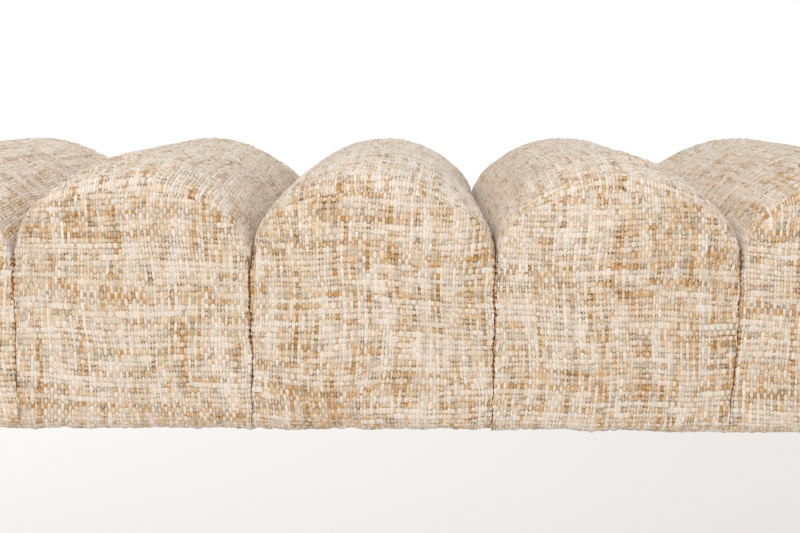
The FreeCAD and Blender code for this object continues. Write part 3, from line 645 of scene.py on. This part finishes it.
PATTERNS = {end: cover_piece(f"pattern_{end + 1}", end) for end in (-1, 0)}
PATTERNS[1] = mirrored(*PATTERNS[-1])
for end, (mesh, rest, blown, outer) in PATTERNS.items():
    print("pattern", end, len(mesh.vertices), "points,", outer.sum(), "of them outside")

# %% [markdown]
# ## Sewing marks and wear
# No two stuffed segments are alike. Each gets its own soft lumps, the pinch of its arched seam
# with small puckers along it, and the fine unevenness of thick yarn, which shows on the
# skyline. These marks move points along the surface's own normal.

# %% lumps, puckers and the pinched seam
LUMP, LUMP_SIZE = 1.3 * MM, 75 * MM
PUCKER, PUCKER_SIZE, PUCKER_REACH = 0.8 * MM, 13 * MM, 14 * MM
PINCH, PINCH_REACH = 1.4 * MM, 3.2 * MM
NUB, TOP_NUB, NUB_SIZE = 0.9 * MM, 1.8 * MM, 5.0 * MM   # yarn bumps on facings, and on the band
NUB_RAMP = 12 * MM                         # from the one to the other over this depth
SEAM_FOOT = 20 * MM                        # the arched seam's marks end this far below the spring
NOISE_STEPS = (17.3, 5.1, 3.7)             # each segment looks its lumps up this far from the last
FAR = 1.0                                  # metres, more than any length on a cover


def seam_gap(rest):
    """How far each point lies from the arched seams at the top of the facings."""
    line = np.array([band_point(SIDE_ROWS + c, 0) for c in range(ARCH_COLUMNS + 1)])
    gap = HALF_DEPTH - np.abs(rest[:, 1])
    for k in np.nonzero(gap < 1 * MM)[0]:
        gap[k] = np.min(np.hypot(line[:, 0] - rest[k, 0], line[:, 2] - rest[k, 2]))
    gap[rest[:, 2] < SPRING - SEAM_FOOT] = FAR
    return gap


def mark_lifts(rest, blown, outer, seed):
    """How far the marks lift each outer point along its normal."""
    gap = seam_gap(rest)
    shift = Vector([step * seed for step in NOISE_STEPS])
    nub = NUB + (TOP_NUB - NUB) * np.clip((HALF_DEPTH - np.abs(rest[:, 1])) / NUB_RAMP, 0.0, 1.0)
    lift = np.zeros(len(rest))
    for k in np.nonzero(outer)[0]:
        spot = Vector(blown[k])
        lift[k] = LUMP * noise.noise(spot / LUMP_SIZE + shift) + nub[k] * noise.noise(spot / NUB_SIZE + shift)
        if gap[k] < 2 * PUCKER_REACH:
            pucker = PUCKER * noise.noise(spot / PUCKER_SIZE - shift)
            lift[k] += pucker * math.exp(-(gap[k] / PUCKER_REACH) ** 2)
            lift[k] -= PINCH * math.exp(-(gap[k] / PINCH_REACH) ** 2)
    return lift


print(f"lumps of {LUMP / MM:.1f} mm, puckers of {PUCKER / MM:.1f} mm, a pinch of {PINCH / MM:.1f} mm")

# %% [markdown]
# A crease between two covers is no straight line. It leans, sways and wobbles, and both covers
# have to follow it alike, so these three are looked up by the number of the crease. The level
# yarns notch its two edges, each cover's own way. The lower edge wanders a little too.

# %% creases and the lower edge
CREASE_SWAY, CREASE_SWAY_SIZE, SWAY_DEPTH = 2.0 * MM, 45 * MM, 140 * MM
CREASE_WOBBLE, CREASE_WOBBLE_SIZE, WOBBLE_DEPTH = 1.5 * MM, 11 * MM, 90 * MM
# how many mm each crease lies to the right of its place: in front at its top and foot, and behind
CREASE_LEANS = {-2: (3, 1, 4), -1: (7, 3.5, 11), 0: (1.5, -1, 2),
                1: (1, 0.5, 1), 2: (-1, -4, -9), 3: (-2, 1, -4)}
CREASE_REACH = 0.55                        # a crease moves the cloth from this share of half a width
SWAY_STEP, WOBBLE_STEP = 7.7, 5.3          # the next crease is looked up this far on in a noise
SCALLOP, SCALLOP_EVEN = 1.9 * MM, 0.6      # how yarns notch its edges, and what all notches share
SCALLOP_SIZE, SCALLOP_WIDTH, SCALLOP_STEP = 11 * MM, 30 * MM, 3.3   # how notches vary, up and across
NOTCH_DEPTH, NOTCH_STRAY = 5 * MM, 2 * MM  # how far the notches reach in, and leave their rows
NOTCH_NEAR = 0.7                           # only points nearer to a crease than this are notched
HEM_WAVE, HEM_WAVE_SIZE = 2.0 * MM, 28 * MM   # how the lower edge wanders
HEM_WAVE_REACH, HEM_WAVE_DEPTH = 30 * MM, 60 * MM   # how far up this shows, and its size in depth


def crease_shift(point, crease, near):
    """How far a crease takes a point sideways; near is 1 at the crease and 0 away from it."""
    y, z = point[1:]
    sway = noise.noise(Vector((crease * SWAY_STEP, y / SWAY_DEPTH, z / CREASE_SWAY_SIZE)))
    wobble = noise.noise(Vector((crease * WOBBLE_STEP, y / WOBBLE_DEPTH, z / CREASE_WOBBLE_SIZE)))
    front_top, front_foot, behind = CREASE_LEANS.get(crease, (0, 0, 0))
    rise = min(1.0, max(0.0, (z - BASE) / (SPRING - BASE)))
    back = 0.5 + 0.5 * y / HALF_DEPTH
    lean = (front_foot + (front_top - front_foot) * rise) * (1 - back) + behind * back
    return (CREASE_SWAY * sway + lean * MM) * near ** 2 + CREASE_WOBBLE * wobble * near ** 6


def notch_depth(point, inward, near, seed):
    """How far the yarns stand back from the mouth of a crease; inward is the depth behind the facing."""
    stray = noise.noise(Vector((point[0] / SCALLOP_WIDTH, seed * SCALLOP_STEP, point[2] / SCALLOP_SIZE)))
    notch = 1 - abs(math.cos(math.pi * (point[2] + NOTCH_STRAY * stray) / WEFT_SPACING))
    mouth = max(0.0, 1 - inward / NOTCH_DEPTH)
    return SCALLOP * (SCALLOP_EVEN + stray) * notch * mouth * near ** 8


def lay_along(points, rest, outer, loose, centre, seed):
    """Puts a cover's points at their place along the bench, with its creases and its lower edge."""
    placed = points.copy()
    near = np.clip((np.abs(points[:, 0]) / TOUCH - CREASE_REACH) / (1 - CREASE_REACH), 0.0, 1.0)
    low_edge = np.clip(1 - (points[:, 2] - BASE) / HEM_WAVE_REACH, 0.0, 1.0) * loose
    for k, point in enumerate(points):
        placed[k, 0] += centre
        if near[k] > 0:
            crease = round(centre / PITCH) + (1 if point[0] > 0 else 0)
            placed[k, 0] += crease_shift(point, crease, near[k])
        if near[k] > NOTCH_NEAR and outer[k]:
            notch = notch_depth(point, HALF_DEPTH - abs(rest[k, 1]), near[k], seed)
            placed[k, 0] -= math.copysign(notch, point[0])
        if low_edge[k] > 0:
            wave = noise.noise(Vector((placed[k, 0] / HEM_WAVE_SIZE, seed, point[1] / HEM_WAVE_DEPTH)))
            placed[k, 2] += HEM_WAVE * low_edge[k] * wave
    return placed


most = max(abs(part) for leans in CREASE_LEANS.values() for part in leans)
print(len(CREASE_LEANS), "creases, which lean by up to", most, "mm")

# %% [markdown]
# Now each segment is finished: its pattern gets its marks, its sides are pressed flat against
# the neighbours, and it is laid along the bench. Each cover is cut from another part of the
# cloth, so no two have the same yarns. An attribute tells the tweed how far a crease is.

# %% seven covers
DUST_EDGE = Vector(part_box("dust_cover")[1])   # corner of the dust cover
HEM_FREE = 16 * MM                         # past it the hem gets its waves over this distance
CREASE_FADE = 4 * MM                       # how the shade of a crease dies away towards the hem
PRESSED = 0.6                              # a face that looks sideways by this share is pressed flat
CLOTH_STEP = (1.37, 0.83)                  # metres along the cloth from one cover to the next


def finish_cover(name, pattern, centre, seed):
    """A finished cover at its place along the bench, from one of the swollen patterns."""
    source, rest, blown, outer = PATTERNS[pattern]
    mesh = source.copy()
    mesh.name = name
    mesh.vertices.foreach_set("co", blown.ravel())
    mesh.update()
    normals = read_points(mesh, "normal")
    lift = mark_lifts(rest, blown, outer, seed)
    # the flat hem that the dust cover lies against stays flat
    clear = np.maximum(np.abs(rest[:, 0] + centre) - DUST_EDGE.x, np.abs(rest[:, 1]) - DUST_EDGE.y) / HEM_FREE
    loose = np.where(rest[:, 2] < BASE + WALL, np.clip(clear, 0.0, 1.0), 1.0)
    # no side passes the plane where the next cover begins
    limit = np.where(rest[:, 0] * pattern > 0, FAR, TOUCH)
    pressed = (np.abs(normals[:, 0]) > PRESSED) & (limit < FAR)
    lift[pressed] = np.maximum(lift[pressed], 0.0)
    points = blown + normals * (lift * loose)[:, None]
    points[:, 0] = np.clip(points[:, 0], -limit, limit)
    mesh.vertices.foreach_set("co", lay_along(points, rest, outer, loose, centre, seed).ravel())
    # how far a point is from a crease; the tweed paints the crease's shade from this
    shut = np.clip((rest[:, 2] - BASE - HEM_ROUND) / HEM_SETTLE, 0.0, 1.0)
    crease_gap = np.where(limit < FAR, TOUCH - np.abs(rest[:, 0]) + (1 - shut) * CREASE_FADE, FAR)
    mesh.attributes.new("crease_gap", "FLOAT", "POINT").data.foreach_set("value", crease_gap)
    cloth = mesh.uv_layers["cloth"].data
    cut = np.zeros(2 * len(cloth))
    cloth.foreach_get("uv", cut)
    cut = cut.reshape(-1, 2) + [step * seed for step in CLOTH_STEP]
    cloth.foreach_set("uv", cut.ravel())
    mesh.materials.clear()
    mesh.materials.append(TWEED)
    mesh.polygons.foreach_set("use_smooth", [True] * len(mesh.polygons))
    mesh.update()
    piece = bpy.data.objects.new(name, mesh)
    scene.collection.objects.link(piece)
    return piece


covers = []
for k in range(1, SEGMENTS + 1):
    end = -1 if k == 1 else 1 if k == SEGMENTS else 0
    cover = finish_cover(f"tweed_segment_{k}", end, (k - (SEGMENTS + 1) / 2) * PITCH, k)
    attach(cover, "root")
    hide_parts(f"seat_cover_{k}", f"fibre_wrap_{k}")
    covers.append(cover)
print("covers:", [c.name for c in covers])

# %% [markdown]
# ## The dust cover
# A thin dark cotton cloth closes the underside and is stapled to the frame. It is a sheet
# under light tension: flat at its stapled rim, sagging a little between. A grid is dished by
# a formula, four leg holes are cut, and a Solidify gives it its thickness.

# %% dust cover
low, high = (Vector(corner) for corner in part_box("dust_cover"))
CLOTH_THICK = high.z - low.z
SHEET_COLUMNS, SHEET_ROWS = 164, 48        # squares of about 8 mm
SAG, RIPPLE, RIPPLE_SIZE = 2.5 * MM, 0.3 * MM, 90 * MM
LEG_HOLE = 24.6 * MM                       # radius of the hole round a leg
HOLE_RIM = 1.6 * LEG_HOLE                  # edge points closer than this to a leg are on its hole
leg_names = [f"leg_{face}_{side}" for face in ("front", "back") for side in ("left", "right")]
leg_spots = [(Vector(a) + Vector(b)) / 2 for a, b in (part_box(name) for name in leg_names)]
bm = bmesh.new()
bmesh.ops.create_grid(bm, x_segments=SHEET_COLUMNS, y_segments=SHEET_ROWS, size=0.5)
bmesh.ops.scale(bm, verts=bm.verts, vec=(high.x - low.x, high.y - low.y, 1))
bmesh.ops.translate(bm, verts=bm.verts, vec=((low.x + high.x) / 2, (low.y + high.y) / 2, high.z))
cut = [v for v in bm.verts if any(math.hypot(v.co.x - s.x, v.co.y - s.y) < LEG_HOLE for s in leg_spots)]
bmesh.ops.delete(bm, geom=cut, context="VERTS")
for v in [v for v in bm.verts if v.is_boundary]:
    for spot in leg_spots:
        away = Vector((v.co.x - spot.x, v.co.y - spot.y))
        if away.length < HOLE_RIM:
            v.co.xy = spot.xy + away.normalized() * LEG_HOLE
for v in bm.verts:
    across = 1 - (2 * v.co.y / (high.y - low.y)) ** 2
    along = 1 - (2 * v.co.x / (high.x - low.x)) ** 8
    ripple = RIPPLE * noise.noise(v.co / RIPPLE_SIZE)
    v.co.z -= max(0.0, across * along) * (SAG + ripple)
flat_area = sum(f.calc_area() for f in bm.faces)
sheet_mesh = bpy.data.meshes.new("dust_cover_cloth")
bm.to_mesh(sheet_mesh)
bm.free()
sheet_mesh.polygons.foreach_set("use_smooth", [True] * len(sheet_mesh.polygons))
dust_sheet = bpy.data.objects.new("dust_cover_cloth", sheet_mesh)
scene.collection.objects.link(dust_sheet)
skin = dust_sheet.modifiers.new("cloth_thickness", "SOLIDIFY")
skin.thickness, skin.offset = CLOTH_THICK, -1
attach(dust_sheet, "root")
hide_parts("dust_cover")
print("dust cover of", round(flat_area, 3), "square metres")

# %% [markdown]
# ## Finishes of the pieces under the covers
# The legs, glides, rails and fixings keep their construction shapes. What they need is the
# look of what they are made of: oiled oak with long grain, sawn pine, birch plywood, polyurethane
# foam, zinc-plated steel. Each finish reads Object coordinates, so the pattern stays on the piece.

# %% timber


def timber(name, pale, dark, ring, stretch, roughness, polish):
    """Planed timber: a pale ground with darker rings drawn out along the grain."""
    material, tree, shader = new_material(
        name, Specular_IOR_Level=0.4, Coat_Weight=polish, Coat_Roughness=0.35)
    spot = add(tree, "ShaderNodeTexCoord").outputs["Object"]
    drawn = add(tree, "ShaderNodeVectorMath", {0: spot, 1: stretch}, operation="MULTIPLY").outputs[0]
    rings = {"Vector": drawn, "Scale": 1 / ring, "Detail": 4.0, "Distortion": 0.6}
    rings = add(tree, "ShaderNodeTexNoise", rings).outputs["Fac"]
    pores = {"Vector": drawn, "Scale": 8 / ring, "Detail": 2.0}
    pores = add(tree, "ShaderNodeTexNoise", pores).outputs["Fac"]
    ground = set_stops(add(tree, "ShaderNodeValToRGB", {"Fac": rings}), (0.32, dark), (0.62, pale))
    streak = set_stops(add(tree, "ShaderNodeValToRGB", {"Fac": pores}), (0.36, "#8F7F6C"), (0.5, "#FFFFFF"))
    toned = add(tree, "ShaderNodeMix", {0: 0.55, 6: ground, 7: streak}, **STAIN).outputs[2]
    tree.links.new(toned, shader.inputs["Base Color"])
    rough = {"Value": pores, "From Min": 0.3, "From Max": 0.7,
             "To Min": roughness + 0.12, "To Max": roughness - 0.08}
    rough = add(tree, "ShaderNodeMapRange", rough).outputs[0]
    tree.links.new(rough, shader.inputs["Roughness"])
    bump = add(tree, "ShaderNodeBump", {"Height": pores, "Strength": 0.25, "Distance": 0.3 * MM}).outputs[0]
    tree.links.new(bump, shader.inputs["Normal"])
    return material


LENGTHWISE, UPRIGHT, EDGEWISE = (0.08, 1, 1), (1, 1, 0.07), (0.1, 1, 3)
# oil deepens the oak's brown and leaves a low gloss; the other three are dry, pale and dull
OAK = timber("oak_turned_and_oiled", "#C79A6B", "#9C6E43", 7 * MM, UPRIGHT, 0.42, 0.15)
PINE = timber("pine_sawn", "#E2C08F", "#C99B62", 14 * MM, LENGTHWISE, 0.7, 0.0)
PLYWOOD = timber("birch_plywood", "#DEC59C", "#C4A375", 18 * MM, EDGEWISE, 0.65, 0.0)
BEECH = timber("beech_planed", "#D9B48C", "#BF9468", 6 * MM, UPRIGHT, 0.6, 0.0)
print("timbers:", [m.name for m in (OAK, PINE, PLYWOOD, BEECH)])

# %% steel, nylon, foam and cloth


def grainy(name, pale, dark, grain, depth, **surface):
    """A plain stuff whose colour and relief vary with a fine grain of the given size."""
    material, tree, shader = new_material(name, **surface)
    spot = add(tree, "ShaderNodeTexCoord").outputs["Object"]
    specks = {"Vector": spot, "Scale": 1 / grain, "Detail": 3.0}
    specks = add(tree, "ShaderNodeTexNoise", specks).outputs["Fac"]
    ground = set_stops(add(tree, "ShaderNodeValToRGB", {"Fac": specks}), (0.35, dark), (0.65, pale))
    tree.links.new(ground, shader.inputs["Base Color"])
    bump = add(tree, "ShaderNodeBump", {"Height": specks, "Strength": 0.5, "Distance": depth}).outputs[0]
    tree.links.new(bump, shader.inputs["Normal"])
    return material


def cloth_weave(name, pale, dark, spacing, **surface):
    """A thin plain cloth: crossed fine waves give its threads, which show as a faint grid."""
    material, tree, shader = new_material(name, **surface)
    spot = add(tree, "ShaderNodeTexCoord").outputs["Object"]
    wave = {"Vector": spot, "Scale": math.pi / (10 * spacing), "Distortion": 0.4}
    waves = [add(tree, "ShaderNodeTexWave", wave, bands_direction=way).outputs["Fac"] for way in ("X", "Y")]
    threads = add(tree, "ShaderNodeMath", {0: waves[0], 1: waves[1]}, operation="MULTIPLY").outputs[0]
    ground = set_stops(add(tree, "ShaderNodeValToRGB", {"Fac": threads}), (0.0, dark), (0.8, pale))
    tree.links.new(ground, shader.inputs["Base Color"])
    bump = add(tree, "ShaderNodeBump", {"Height": threads, "Strength": 0.6, "Distance": 0.2 * MM}).outputs[0]
    tree.links.new(bump, shader.inputs["Normal"])
    return material


# zinc plating leaves steel a pale grey with blurred reflections
ZINC = grainy("steel_zinc_plated", "#C9CBCC", "#A3A6A8", 1.5 * MM, 0.02 * MM, Metallic=1.0, Roughness=0.34)
# moulded nylon is dark, with a dull gloss
NYLON = grainy("nylon_moulded", "#3A3733", "#2C2A27", 0.8 * MM, 0.03 * MM, Roughness=0.5)
# cut foam is pale yellow, pitted and quite matt
FOAM = grainy("polyurethane_foam_cut", "#EFE3B8", "#D9C98F", 1.2 * MM, 0.5 * MM,
              Roughness=0.95, Sheen_Weight=0.2)
# cotton is matt; the threads of these two are drawn twice as coarse as real ones, so that they show
DUST_CLOTH = cloth_weave("cotton_dust_cloth", "#4B4846", "#363432", 1.2 * MM, Roughness=0.9, Sheen_Weight=0.2)
TAPE = cloth_weave("cotton_listing_tape", "#E9DFCC", "#CDBFA6", 1.5 * MM, Roughness=0.9)
print("other finishes:", [m.name for m in (ZINC, NYLON, FOAM, DUST_CLOTH, TAPE)])

# %% finishes on the construction nodes
FINISHES = {   # a finish, and how the names of its nodes begin; a later row overrules an earlier one
    OAK: ["leg_"],
    PINE: ["front_rail", "back_rail", "left_", "right_"],
    PLYWOOD: ["seat_deck"],
    BEECH: ["corner_block", "frame_dowels"],
    ZINC: ["leg_inserts", "leg_bolts", "frame_screws", "deck_screws", "dust_cover_staples"],
    NYLON: ["glides"],
    FOAM: ["foam_core", "front_pads", "back_pads", "end_pads"],
    TAPE: ["listing_tape"],
}
dust_sheet.data.materials.append(DUST_CLOTH)
dressed = {}
for finish, names in FINISHES.items():
    for name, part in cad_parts.items():
        if name.startswith(tuple(names)) and not part.hide_render:
            dressed[name] = finish
for name, finish in dressed.items():
    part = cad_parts[name]
    part.data.materials.clear()
    part.data.materials.append(finish)
plain = [name for name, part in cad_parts.items() if name not in dressed and not part.hide_render]
print(len(dressed), "nodes dressed, left plain:", plain)

# %% [markdown]
# ## Light, floor and camera
# The photograph is a studio picture on white, taken from just in front of the seat. The floor
# is a sheet of matt paper. A lit sheet alone would look grey, so the camera sees most of it
# as a white of its own, and only the rest keeps the shadow. That white is painted brighter
# on the left and a little shaded to the right, as the lamp on the left would light it. It
# fades into the backdrop far away, and is clear from below.

# %% floor
FLOOR_HALF = 3.0                           # half the side of the sheet, in metres
FLOOR_GLOW = 0.9                           # share of the floor's own white that the camera sees
FLOOR_PALES = (1.0, 2.4)                   # from here to here the floor turns as white as the backdrop
# painted light: the floor's white falls off from the left, where the main lamp is, to the right
PAINTED_FLOOR_LIGHT = ((0.0, "#FFFBF8"), (0.5, "#F8F5F2"), (1.0, "#F0ECE9"))   # left to right over a metre
bm = bmesh.new()
bmesh.ops.create_grid(bm, x_segments=1, y_segments=1, size=FLOOR_HALF)
floor_mesh = bpy.data.meshes.new("studio_floor")
bm.to_mesh(floor_mesh)
bm.free()
floor = bpy.data.objects.new("studio_floor", floor_mesh)
scene.collection.objects.link(floor)
# matt paper has no gloss that could show the legs
floor_paper, tree, paper = new_material("matt_paper", Roughness=0.9, Base_Color=colour("#F6F3F0"),
                                        Specular_IOR_Level=0.1)
spot = add(tree, "ShaderNodeTexCoord").outputs["Object"]
along = add(tree, "ShaderNodeSeparateXYZ", {0: spot}).outputs["X"]
along = add(tree, "ShaderNodeMapRange", {"Value": along, "From Min": -0.5, "From Max": 0.5}).outputs[0]
# painted light: the floor's own white, brighter on the left and shaded towards the right
tone = set_stops(add(tree, "ShaderNodeValToRGB", {"Fac": along}), *PAINTED_FLOOR_LIGHT)
away = add(tree, "ShaderNodeVectorMath", {0: spot}, operation="LENGTH").outputs["Value"]
fade = {"Value": away, "From Min": FLOOR_PALES[0], "From Max": FLOOR_PALES[1]}
fade = add(tree, "ShaderNodeMapRange", fade, **EASED).outputs[0]
tone = add(tree, "ShaderNodeMix", {0: fade, 6: tone, 7: colour("#FFFFFF")}, **BLEND).outputs[2]
lit = add(tree, "ShaderNodeEmission", {"Color": tone, "Strength": 1.0}).outputs[0]
seen = add(tree, "ShaderNodeLightPath").outputs["Is Camera Ray"]
glow = add(tree, "ShaderNodeMapRange", {"Value": fade, "To Min": FLOOR_GLOW, "To Max": 1.0}).outputs[0]
glow = add(tree, "ShaderNodeMath", {0: seen, 1: glow}, operation="MULTIPLY").outputs[0]
mixed = add(tree, "ShaderNodeMixShader", {0: glow, 1: paper.outputs[0], 2: lit}).outputs[0]
below = add(tree, "ShaderNodeNewGeometry").outputs["Backfacing"]
clear = add(tree, "ShaderNodeBsdfTransparent").outputs[0]
mixed = add(tree, "ShaderNodeMixShader", {0: below, 1: mixed, 2: clear}).outputs[0]
tree.links.new(mixed, tree.nodes["Material Output"].inputs["Surface"])
floor_mesh.materials.append(floor_paper)
print("a floor of", 2 * FLOOR_HALF, "m, white from", FLOOR_PALES[1], "m outwards")

# %% [markdown]
# The white behind comes from the world as the camera, gloss and glass see it, not from more
# light: for every other ray the world is a dimmer room.

# %% backdrop
ROOM_LIGHT = 0.62
world = bpy.data.worlds.new("studio")
scene.world = world
world.use_nodes = True
tree = world.node_tree
tree.nodes.clear()
ways = add(tree, "ShaderNodeLightPath").outputs
sight = ways["Is Camera Ray"]
for way in ("Is Glossy Ray", "Is Transmission Ray"):
    sight = add(tree, "ShaderNodeMath", {0: sight, 1: ways[way]}, operation="MAXIMUM").outputs[0]
room = add(tree, "ShaderNodeBackground", {"Color": colour("#FFFDFA"), "Strength": ROOM_LIGHT}).outputs[0]
white = add(tree, "ShaderNodeBackground", {"Color": colour("#FFFFFF"), "Strength": 1.0}).outputs[0]
mixed = add(tree, "ShaderNodeMixShader", {0: sight, 1: room, 2: white}).outputs[0]
add(tree, "ShaderNodeOutputWorld", {"Surface": mixed})
print("white backdrop, room light", ROOM_LIGHT)

# %% [markdown]
# A large soft lamp hangs up on the left, a weaker one fills from the front, and a third lights
# the tops from behind. The camera's place and lens are those that fit the creases and the tops
# in the photograph.

# %% lamps and camera


def soft_lamp(name, place, target, size, watts):
    """A square soft lamp that points at a target."""
    lamp = bpy.data.lights.new(name, "AREA")
    lamp.shape, lamp.size, lamp.energy = "SQUARE", size, watts
    holder = bpy.data.objects.new(name, lamp)
    holder.location = place
    holder.rotation_euler = (Vector(target) - Vector(place)).to_track_quat("-Z", "Y").to_euler()
    scene.collection.objects.link(holder)


soft_lamp("main_lamp", (-1.5, -1.3, 2.3), (0, 0, 0.35), 1.8, 34)
soft_lamp("fill_lamp", (0.8, -2.6, 1.1), (0, 0, 0.3), 1.6, 15)
soft_lamp("top_lamp", (-0.3, 0.9, 2.4), (0, 0, 0.4), 1.6, 11)

PHOTO_WIDTH = 800          # pixels, the width of the picture frame
FOCAL_PIXELS = 1080        # focal length that the picture's perspective asks for
LOOK_DOWN, LOOK_LEFT = math.radians(9.25), math.radians(1.07)
camera = bpy.data.objects.new("camera", bpy.data.cameras.new("camera"))
camera.data.sensor_width = 36
camera.data.lens = FOCAL_PIXELS / PHOTO_WIDTH * camera.data.sensor_width
camera.location = (0.0396, -1.096, 0.504)
camera.rotation_euler = (math.pi / 2 - LOOK_DOWN, 0, LOOK_LEFT)
scene.collection.objects.link(camera)
scene.camera = camera
scene.view_settings.view_transform = "Standard"
print("camera lens", round(camera.data.lens, 1), "mm")
